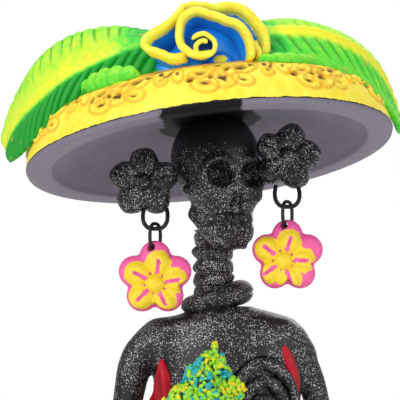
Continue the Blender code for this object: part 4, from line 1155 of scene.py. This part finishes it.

# Lavender grey: thin satin paint brushed on, streaky, with black flecks, a painted highlight on the lip near
# the rim, and black round the head
HAT_GREY, tree, shader = finish("lavender_grey_satin_paint", Roughness=0.52, Specular_IOR_Level=0.14)
brushed = speckle(tree, 5.0, 5.0, 0.6, (1, 3.5, 1))
grey = blend(tree, brushed, "#686274", "#837c8e")
# painted highlight: the lip band near the rim is made paler
lip = add(tree, "MapRange", {0: add(tree, "Attribute", attribute_name="lip").outputs["Fac"], 3: 0.0,
                             4: 0.22}).outputs[0]
grey = blend(tree, lip, grey, "#b3adba")
flecks = add(tree, "ValToRGB", {0: speckle(tree, 0.9, 2.0)}, stops=[(0.27, 1.0), (0.30, 0.0)]).outputs[0]
headward = add(tree, "Math", {0: add(tree, "Attribute", attribute_name="headward").outputs["Fac"],
                              1: add(tree, "MapRange",
                                     {0: speckle(tree, 3.5, 6.0), 3: -0.16, 4: 0.16}).outputs[0]},
               operation="ADD").outputs[0]
black = add(tree, "ValToRGB", {0: headward}, stops=[(0.47, 0.0), (0.53, 1.0)]).outputs[0]
grey = blend(tree, flecks, grey, "#2b2830")
shade(tree, shader, Base_Color=blend(tree, black, grey, "#121114"), Normal=bump(tree, brushed, 0.12, 0.5))

faces = quads(*shape, caps=True)
row_of = np.concatenate([np.repeat(np.arange(len(profile) - 1), HAT_ROUND), [0, len(profile)]])
picks = (row_of < len(under) - 0.5).astype(int)
make("hat_painted", points.reshape(-1, 3), faces, [HAT_YELLOW, HAT_GREY], marks=marks,
     picks=picks,
     stands_for=["hat_brim"] + [f"hat_flower_{i:02d}" for i in range(1, 10)])


# ---- plumes ----
# Two long curled feathers of paste lie round the crown from the rose to the sides. Their barbs are pressed in
# with a knife, and they are painted green and then brushed with lime and yellow from the crest. Their lower
# halves and the cut grooves are taken down to dark green as painted shade.
# down each: degrees from the front, then radius and height of the upper edge, the crest and the lower edge
PLUMES = {"left": [(10, 30.5, 29.0, 38, 24, 43.5, 14.8), (24, 33, 31.0, 41, 24.4, 44.5, 14.6),
                   (39, 36.5, 34, 44.5, 22.8, 47.2, 13.6),
                   (52, 42, 34.3, 48, 20.5, 50.6, 11.0), (64, 47, 32.5, 51.6, 17.5, 53.3, 6.6),
                   (76, 51.5, 28.5, 55, 15.0, 56.0, 4.4), (84, 56, 22.0, 57.5, 12.5, 57.8, 4.6),
                   (90, 59.6, 14.5, 59.6, 9.5, 59.0, 5.6)],
          "right": [(24, 33, 29.4, 40, 24.5, 45, 14.4), (45, 37, 30.8, 44, 24.4, 48.2, 13.0),
                    (58, 40.5, 30, 47.2, 22.6, 50.9, 10.6), (70, 45, 27.6, 50.6, 19.6, 53.7, 5.6),
                    (80, 50, 23, 53.6, 14.4, 55.6, 2.4), (87, 54, 14, 55.3, 9, 56.6, 1.0),
                    (92, 56.5, 5, 56.6, 4, 56.8, 0.5)]}
PLUME_THICK, PLUME_COLUMNS = 2.6, 110
PLUME_PAINT, tree, shader = finish("green_paint_dry_brushed_lime", Roughness=0.5, Specular_IOR_Level=0.4)
crest = add(tree, "Attribute", attribute_name="crest").outputs["Fac"]
brush_marks = add(tree, "Attribute", attribute_name="strokes").outputs["Fac"]
spots = speckle(tree, 1.6, 5.0, 0.65)
tone = add(tree, "Math", {0: crest, 1: add(tree, "MapRange", {0: spots, 3: -0.34, 4: 0.34}).outputs[0]},
           operation="ADD").outputs[0]
tone = add(tree, "Math", {0: tone, 1: brush_marks}, operation="ADD").outputs[0]
paint = add(tree, "ValToRGB", {0: tone}, stops=[(0.0, "#0ba32a"), (0.22, "#2fcf34"), (0.45, "#6fe336"),
                                                (0.65, "#b6ee34"), (0.85, "#dff236"),
                                                (1.0, "#f7ee2c")]).outputs[0]
# painted shade: the 'deep' mark takes the paint to dark green in the cut grooves and over the lower half of
# the left plume
deep = add(tree, "Attribute", attribute_name="deep").outputs["Fac"]
paint = blend(tree, deep, paint, "#06981f")
warm = add(tree, "ValToRGB", {0: speckle(tree, 4.5, 2.0)}, stops=[(0.66, 0.0), (0.74, 0.45)]).outputs[0]
shade(tree, shader, Base_Color=blend(tree, warm, paint, "#ffb23a"),
      Normal=bump(tree, speckle(tree, 0.5, 4.0), 0.14, 0.7))


def surface_normals(grid):
    """Unit normals of a grid of points, worked out from its neighbours."""
    normal = np.cross(np.gradient(grid, axis=0), np.gradient(grid, axis=1))
    return normal / (np.linalg.norm(normal, axis=-1, keepdims=True) + 1e-9)


def groove(phase, sharp):
    """1 in a groove and 0 between, once in each unit of phase."""
    return (1 - np.abs(np.sin(math.pi * phase))) ** sharp


def stroke_noise(phase, across, seed):
    """Brush strokes that lie along the barbs."""
    across = across + 0 * phase
    places = np.stack([phase * 2.2 + 0 * across, across * 0.35, np.full_like(across, seed)], axis=-1)
    return fractal(places, 1.0, seed, 3)


for side, (word, stations) in ((-1, ("left", PLUMES["left"])), (1, ("right", PLUMES["right"]))):
    rows = rounded(stations, 34)
    angle, upper_r, upper_h, rib_r, rib_h, lower_r, lower_h = rows.T[:, :, None]
    across = np.linspace(-1, 1, PLUME_COLUMNS)[None, :]
    reach = np.abs(across)
    end_r = np.where(across < 0, upper_r, lower_r)
    end_h = np.where(across < 0, upper_h, lower_h)
    swell = 1.6 * np.sin(math.pi * reach) * np.where(across < 0, 1.0, 0.3)
    radius = rib_r + (end_r - rib_r) * reach + swell
    height = rib_h + (end_h - rib_h) * reach + swell * 0.3
    turn = np.radians(side * angle)
    grid = np.stack([radius * np.sin(turn), -radius * np.cos(turn), height], axis=-1)
    step = np.linalg.norm(np.diff(grid[:, PLUME_COLUMNS // 2], axis=0), axis=1)
    length = np.concatenate([[0], np.cumsum(step)])[:, None]
    if word == "left":
        up_phase = (length + 7.0 * (1 - reach)) / 4.0 + 0.12 * np.sin(length * 0.37)
        down_phase = (length - 6.0 * reach) / 3.7 + 0.10 * np.sin(length * 0.53)
        up_cut = groove(up_phase, 3.4) * smooth(reach, 0.30, 0.80) * smooth(length, 12, 18)
        down_cut = groove(down_phase, 1.9) * smooth(reach, 0.08, 0.28)
        relief = np.where(across < 0, -1.0 * up_cut, 0.7 * smooth(reach, 0.05, 0.4) - 2.0 * down_cut)
        relief = relief + 0.9 * np.exp(-((across + 0.02) / 0.14) ** 2)
        # the crest tone falls over the lower half of the plume: painted shade there
        crest = np.where(across < 0, 0.66 + 0.22 * smooth(-across, 0.55, 0.0),
                         0.96 - 1.05 * smooth(across, 0.02, 0.30))
        crest = crest - 0.55 * (1 - smooth(length, 9, 22)) - 0.14 * smooth(reach, 0.75, 1.0) * (across < 0)
        # painted shade: dark green in the cut grooves and over the outer lower half
        deep = np.where(across < 0, 0.95 * up_cut, np.maximum(0.95 * down_cut,
                                                              0.45 * smooth(across, 0.3, 0.6)))
        phase = np.where(across < 0, up_phase, down_phase)
    else:
        up_phase = (length + 3.0 * (1 - reach)) / 4.0
        down_phase = (length - 3.2 * reach) / 4.3
        up_cut = groove(up_phase, 1.6) * smooth(reach, 0.12, 0.45)
        slit = groove(down_phase, 1.7) * smooth(across, 0.12, 0.22) * smooth(across, 0.92, 0.5)
        relief = np.where(across < 0, -1.3 * up_cut, 0.4 - 1.9 * slit)
        relief = relief + 0.7 * np.exp(-((across + 0.12) / 0.2) ** 2)
        # the crest tone falls over the lower half of the plume: painted shade there
        crest = np.where(across < 0, 1.0 - 0.40 * smooth(reach, 0.10, 0.34),
                         1.0 - 0.60 * smooth(across, 0.06, 0.30))
        crest = crest - 0.4 * (1 - smooth(length, 3, 10))
        # painted shade: dark green in the cut slits
        deep = np.where(across < 0, 0.34 * up_cut, 0.95 * slit)
        phase = np.where(across < 0, up_phase, down_phase)
    whole = np.zeros(grid.shape[:2])
    crest, deep, phase, relief = (values + whole for values in (crest, deep, phase, relief))
    marks = {"crest": crest, "deep": np.clip(deep, 0, 1),
             "strokes": 0.10 * stroke_noise(phase, across * 6, side + 2.0)}
    normal = surface_normals(grid) * side
    if (normal[60, 40] @ np.array((side * 1.0, -0.5, 0.5))) < 0:
        normal = -normal
    ends = np.sqrt(np.clip(np.sin(math.pi * np.linspace(0.02, 0.985, len(rows))), 0, 1)) ** 0.5
    thick = PLUME_THICK * np.sqrt(1 - reach ** 8) * ends[:, None] + 0.02
    # scallops: the edges swell between the cuts
    edge_out = 0.9 * smooth(reach, 0.72, 1.0) * (0.5 - groove(phase, 1.4))
    way = np.gradient(grid, axis=1)
    way /= np.linalg.norm(way, axis=-1, keepdims=True) + 1e-9
    front = grid + normal * (relief * ends[:, None] * smooth(1 - reach, 0, 0.08))[..., None]
    front = front + way * (np.sign(across) * edge_out)[..., None]
    back = grid - normal * thick[..., None] + way * (np.sign(across) * edge_out)[..., None]
    strip = np.concatenate([front, back[:, ::-1]], axis=1)
    marks = {name: np.concatenate([values, values[:, ::-1] * (0.7 if name == "crest" else 1)], axis=1)
             for name, values in marks.items()}
    make(f"plume_{word}_feather", placed_on(hat_frame, strip).reshape(-1, 3),
         quads(*strip.shape[:2], caps=True),
         [PLUME_PAINT], stands_for=[f"plume_{word}"], marks=marks)


# ---- small leaves ----
# A low leaf of paste with a scalloped edge lies on the band's shoulder at each side of the rose.
def over_hat(angle, run, lift):
    """Points over the hat's top, at degrees from the front, a distance in from the rim, and a lift off it."""
    radius, height = np.interp(run, fine, top[:, 0]), np.interp(run, fine, top[:, 1])
    ahead_r, ahead_h = np.interp(run + 0.5, fine, top[:, 0]), np.interp(run + 0.5, fine, top[:, 1])
    slope_r, slope_h = (ahead_r - radius) * 2, (ahead_h - height) * 2
    turn = np.radians(angle)
    r, h = radius + slope_h * lift, height - slope_r * lift
    return np.stack([r * np.sin(turn), -r * np.cos(turn), h], axis=-1)


LEAF_ROWS, LEAF_COLUMNS = 90, 40
for word, side, low, high, tall in (("left", -1, 21, 46, 4.6), ("right", 1, 19, 44, 2.4)):
    along = np.linspace(0, 1, LEAF_ROWS)[:, None]
    across = np.linspace(-1, 1, LEAF_COLUMNS)[None, :]
    scallop = np.abs(np.sin(along * math.pi * 5.0)) ** 0.6
    half = 1.9 * np.sqrt(np.clip(np.sin(math.pi * (0.06 + 0.9 * along)), 0, 1)) + 0.0 * across
    rise = tall * (0.35 + 0.65 * np.sin(math.pi * (0.1 + 0.8 * along))) * (0.80 + 0.20 * scallop)
    angle = side * (low + (high - low) * along)
    run = 15.2 + 0.5 * along + half * across
    dome = np.sqrt(np.clip(1 - across ** 2, 0, 1))
    vein = groove(along * 5.0 + 0.25 * across, 4.0)
    lift = 0.15 + rise * dome * (1 - 0.16 * vein) * np.clip(np.minimum(along, 1 - along) * 14, 0, 1) ** 0.5
    face = over_hat(angle + 0 * across, run, lift)
    foot = over_hat(angle + 0 * across, run, np.full_like(lift, 0.05))
    strip = np.concatenate([face, foot[:, ::-1]], axis=1)
    crest = np.concatenate([0.34 + 0.18 * dome + 0 * along] * 2, axis=1)
    # painted shade: the vein grooves are marked darker with the 'deep' mark
    deep = np.concatenate([0.4 * vein * np.ones_like(across)] * 2, axis=1)
    make(f"hat_leaf_{word}_scalloped", placed_on(hat_frame, strip).reshape(-1, 3),
         quads(LEAF_ROWS, 2 * LEAF_COLUMNS, caps=True),
         [PLUME_PAINT], stands_for=[f"hat_leaf_{word}"],
         marks={"crest": crest, "deep": deep, "strokes": 0 * crest})


# ---- rose ----
# A rose of rolled paste slabs on the front of the crown. Each petal is a slab whose rim is rolled thick. It
# is painted strong blue, and the rims yellow with a loaded brush; the blue is darkened deep in each petal,
# away from the rims, and in the hollows as painted shade.
ROSE_PLACE, ROSE_LEAN, ROSE_SCALE = (0.9, -42.4, 19.4), 101.0, 0.90
rose_frame = (hat_frame @ Matrix.Translation(ROSE_PLACE)
              @ Euler((math.radians(ROSE_LEAN), 0, 0)).to_matrix().to_4x4() @ Matrix.Scale(ROSE_SCALE, 4))
RIM_THICK, FOOT_THICK = 2.5, 1.5
PETAL_ROWS, PETAL_COLUMNS, BEAD_POINTS = 100, 26, 9
ROSE_PAINT, tree, shader = finish("blue_gloss_paint_yellow_rims", Roughness=0.38, Coat_Weight=0.2,
                                  Coat_Roughness=0.25)
rim = add(tree, "Attribute", attribute_name="rim").outputs["Fac"]
rough_edge = add(tree, "MapRange", {0: speckle(tree, 0.9, 5.0, 0.65), 3: -0.40, 4: 0.40}).outputs[0]
cover = add(tree, "ValToRGB", {0: add(tree, "Math", {0: rim, 1: rough_edge}, operation="ADD").outputs[0]},
            stops=[(0.42, 0.0), (0.54, 1.0)]).outputs[0]
blue = blend(tree, speckle(tree, 2.5, 4.0), "#0b74de", "#18a0ff")
# painted shade: the blue darkens away from the rims, deep in each petal
blue = blend(tree, add(tree, "MapRange", {0: rim, 1: 0.0, 2: -1.6, 3: 0.0, 4: 0.8}).outputs[0], blue,
             "#0a3c92")
# painted shade in the hollows, read from the surface's pointiness
hollow_shade = add(tree, "ValToRGB", {0: add(tree, "NewGeometry").outputs["Pointiness"]},
           stops=[(0.42, "#0a2f7a"), (0.50, "#ffffff")]).outputs[0]
blue = add(tree, "Mix", {0: 0.55, 6: blue, 7: hollow_shade}, data_type="RGBA", blend_type="MULTIPLY").outputs[2]
tints = add(tree, "ValToRGB", {0: speckle(tree, 3.2, 3.0)}, stops=[(0.30, "#d9ee3a"), (0.45, "#f8ee40"),
                                                                   (0.62, "#fbe232"), (0.75,
                                                                                       "#ffc93a")]).outputs[0]
shade(tree, shader, Base_Color=blend(tree, cover, blue, tints),
      Normal=bump(tree, speckle(tree, 0.6, 4.0), 0.14, 0.6))


def rolled_petal(name, rim_points, foot_points, bulge, stands_for=(), rim_thick=RIM_THICK, reach=1.0):
    """A slab between a foot and a rim, places from the rose's middle, with its rim rolled into a bead."""
    edge, foot = rounded(rim_points, 12), rounded(foot_points, 12)
    spots = np.linspace(0, 1, PETAL_ROWS)
    edge = np.stack([np.interp(spots, np.linspace(0, 1, len(edge)), c) for c in edge.T], axis=1)
    foot = np.stack([np.interp(spots, np.linspace(0, 1, len(foot)), c) for c in foot.T], axis=1)
    edge += fractal(edge, 4.0, len(name), 2)[:, None] * (0.35, 0.35, 0.2)
    up = np.linspace(0, 1, PETAL_COLUMNS)[None, :, None]
    middle = (edge + foot) / 2 + bulge
    wall = ((1 - up) ** 2 * foot[:, None] + 2 * up * (1 - up) * middle[:, None] + up ** 2 * edge[:, None])
    normal = surface_normals(wall)
    bead = smooth(up[..., 0], 0.62, 0.90)
    thick = FOOT_THICK + (rim_thick - FOOT_THICK) * bead + 0 * normal[..., 0]
    ends = np.clip(np.minimum(spots, 1 - spots) / 0.05, 0, 1) ** 0.5
    thick = thick * (0.25 + 0.75 * ends[:, None]) / 2
    way = wall[:, -1] - wall[:, -3]
    way /= np.linalg.norm(way, axis=1)[:, None] + 1e-9
    tip_turn = np.radians(np.linspace(75, -75, BEAD_POINTS))
    cap = (wall[:, -1:] + normal[:, -1:] * (np.sin(tip_turn)[None, :, None] * thick[:, -1:, None])
           + way[:, None] * (np.cos(tip_turn)[None, :, None] * thick[:, -1:, None]))
    strip = np.concatenate([wall + normal * thick[..., None], cap,
                            (wall - normal * thick[..., None])[:, ::-1]], axis=1)
    far = np.linalg.norm(wall - edge[:, None], axis=-1)
    mark = 1.0 - far / (2 * reach * rim_thick * 0.85)
    marks = np.concatenate([mark, np.ones((PETAL_ROWS, BEAD_POINTS)), mark[:, ::-1]], axis=1)
    return make(name, placed_on(rose_frame, strip).reshape(-1, 3), quads(*strip.shape[:2], caps=True),
                [ROSE_PAINT],
                stands_for=stands_for, marks={"rim": marks})


# rims and feet: to the right, up, and towards the front, from the middle of the rose
FRONT_RIM = [(2.9, -1.8, 8.2), (-0.9, -2.7, 8.0), (-4.0, -1.2, 7.4), (-6.3, 1.0, 6.6), (-6.6, 4.6, 6.0),
             (-5.6, 8.6, 5.2),
             (-3.6, 10.8, 4.6), (-0.8, 11.4, 4.4), (2.2, 10.8, 4.6), (5.2, 9.1, 5.0), (7.8, 7.6, 5.2),
             (10.6, 6.6, 5.2),
             (13.2, 4.0, 5.2), (14.4, 0.6, 5.2), (14.8, -3.4, 5.0), (13.6, -5.6, 4.6)]
FRONT_FOOT = [(1.5, -3.6, 1.5), (-0.6, -4.0, 0.5), (-2.6, -2.6, 0.0), (-4.2, 0.4, -1.0), (-4.4, 3.4, -1.5),
              (-3.6, 6.2, -2.0), (-2.2, 7.6, -2.2), (-0.4, 8.0, -2.4), (1.6, 7.4, -2.4), (3.8, 6.2, -2.2),
              (6.0, 4.8, -2.0),
              (8.6, 3.8, -2.0), (10.4, 1.8, -1.5), (11.0, -1.2, -1.5), (11.2, -4.2, -1.5),
              (10.6, -6.2, -1.5)]
rolled_petal("rose_petal_front", FRONT_RIM, FRONT_FOOT, (0, 0, -0.6), ["rose_petal_wrap"])
LEFT_RIM = [(-4.0, 13.4, 1.0), (-6.2, 11.4, 2.2), (-8.8, 9.2, 3.0), (-12.2, 7.4, 3.4), (-16.2, 5.6, 3.6),
            (-17.5, 3.3, 3.8),
            (-15.8, 1.3, 4.4), (-12.0, -0.6, 5.0), (-8.6, -2.0, 5.4), (-5.2, -1.4, 5.4)]
LEFT_FOOT = [(-3.4, 8.4, -3.5), (-5.2, 7.2, -3.2), (-6.6, 5.6, -3.0), (-8.6, 3.2, -3.2), (-10.6, 0.8, -3.4),
             (-11.4, -2.2, -3.2), (-10.8, -5.6, -2.4), (-9.2, -7.6, -1.2), (-6.4, -8.4, -0.6),
             (-3.4, -8.0, 0.0)]
rolled_petal("rose_petal_left_rolled", LEFT_RIM, LEFT_FOOT, (-0.5, -0.3, 0.4), ["rose_petal_left"])
RIGHT_RIM = [(4.8, 12.0, 0.4), (8.4, 12.5, -0.4), (12.0, 11.9, -1.0), (14.9, 10.2, -1.4), (17.1, 7.6, -1.6),
             (18.6, 4.6, -1.6), (19.6, 1.2, -1.4), (19.2, -2.4, -1.0), (17.4, -4.6, -0.6)]
RIGHT_FOOT = [(3.4, 7.6, -5.0), (6.0, 7.8, -5.2), (8.6, 7.2, -5.4), (10.8, 5.8, -5.6), (12.2, 3.8, -5.6),
              (13.2, 1.4, -5.4), (13.6, -1.6, -5.2), (13.4, -4.8, -5.0), (12.2, -7.0, -4.8)]
rolled_petal("rose_petal_right_rolled", RIGHT_RIM, RIGHT_FOOT, (0.4, 0.4, 0.2), ["rose_petal_right"], 2.9)
BACK_RIM = [(-5.2, 12.2, -2.4), (-4.4, 14.0, -2.8), (-1.8, 14.6, -3.0), (1.4, 14.2, -3.0),
            (4.6, 12.9, -2.8), (6.6, 10.6, -2.4)]
BACK_FOOT = [(-4.0, 7.6, -5.6), (-3.2, 8.6, -6.0), (-1.2, 9.2, -6.2), (1.2, 9.0, -6.2), (3.6, 8.2, -6.0),
             (5.4, 6.8, -5.6)]
rolled_petal("rose_petal_back_rolled", BACK_RIM, BACK_FOOT, (0, 0.6, 0), ["rose_petal_back"], 2.4, 0.7)
INNER_RIM = [(15.6, 0.2, 3.2), (16.4, -1.6, 3.0), (16.9, -3.8, 2.6), (16.6, -6.0, 2.2)]
INNER_FOOT = [(13.0, -1.0, -3.0), (13.2, -2.6, -3.2), (13.4, -4.6, -3.2), (13.0, -6.6, -3.2)]
rolled_petal("rose_petal_small", INNER_RIM, INNER_FOOT, (0.2, 0, 0), (), 2.0)

# The heart is a strip rolled up on itself, one and a half turns
turns = np.linspace(-0.30, 0.98, 24)
coil = [(0.3 + (2.2 + 2.1 * t) * math.cos(math.tau * t + 2.6),
         -0.2 + (2.2 + 2.1 * t) * math.sin(math.tau * t + 2.6),
         8.6 - 0.3 * t) for t in turns]
coil_foot = [(0.4 + 0.8 * (x - 0.4), 0.5 + 0.8 * (y - 0.5), 0.0) for x, y, _ in coil]
rolled_petal("rose_heart_rolled", coil, coil_foot, (0, 0, 0), ["rose_heart"], 1.5, 0.5)

# The base: the foot of the petals, pressed onto the crown and run down to the band
x, y, z = space((-19, -16, -16), (20, 12, 8), 0.55)
base = egg(x, y, z, (0.5, 0.0, -5.5), (10.5, 8.5, 6.5))
base = join(base, egg(x, y, z, (-6.5, -6.2, -1.5), (9.2, 7.6, 4.8)), 2.0)
base = join(base, egg(x, y, z, (8.5, -5.5, -4.5), (8.0, 5.2, 4.4)), 2.0)
base = join(base, rod(x, y, z, (0, 0, -5), (0, 3, -15), 5.5, 4.0), 2.0)
base = join(base, egg(x, y, z, (4.6, -5.4, 1.6), (4.2, 3.4, 3.0)), 1.5)
points, faces = skin(base, (x, y, z))
daub = 0.95 - np.linalg.norm((points - (5.0, -4.0, 4.4)) / (2.2, 1.8, 2.0), axis=1) * 0.5
make("rose_base_pressed", placed_on(rose_frame, points), faces, [ROSE_PAINT],
     stands_for=["rose_base"], marks={"rim": np.clip(daub, 0, 1)})
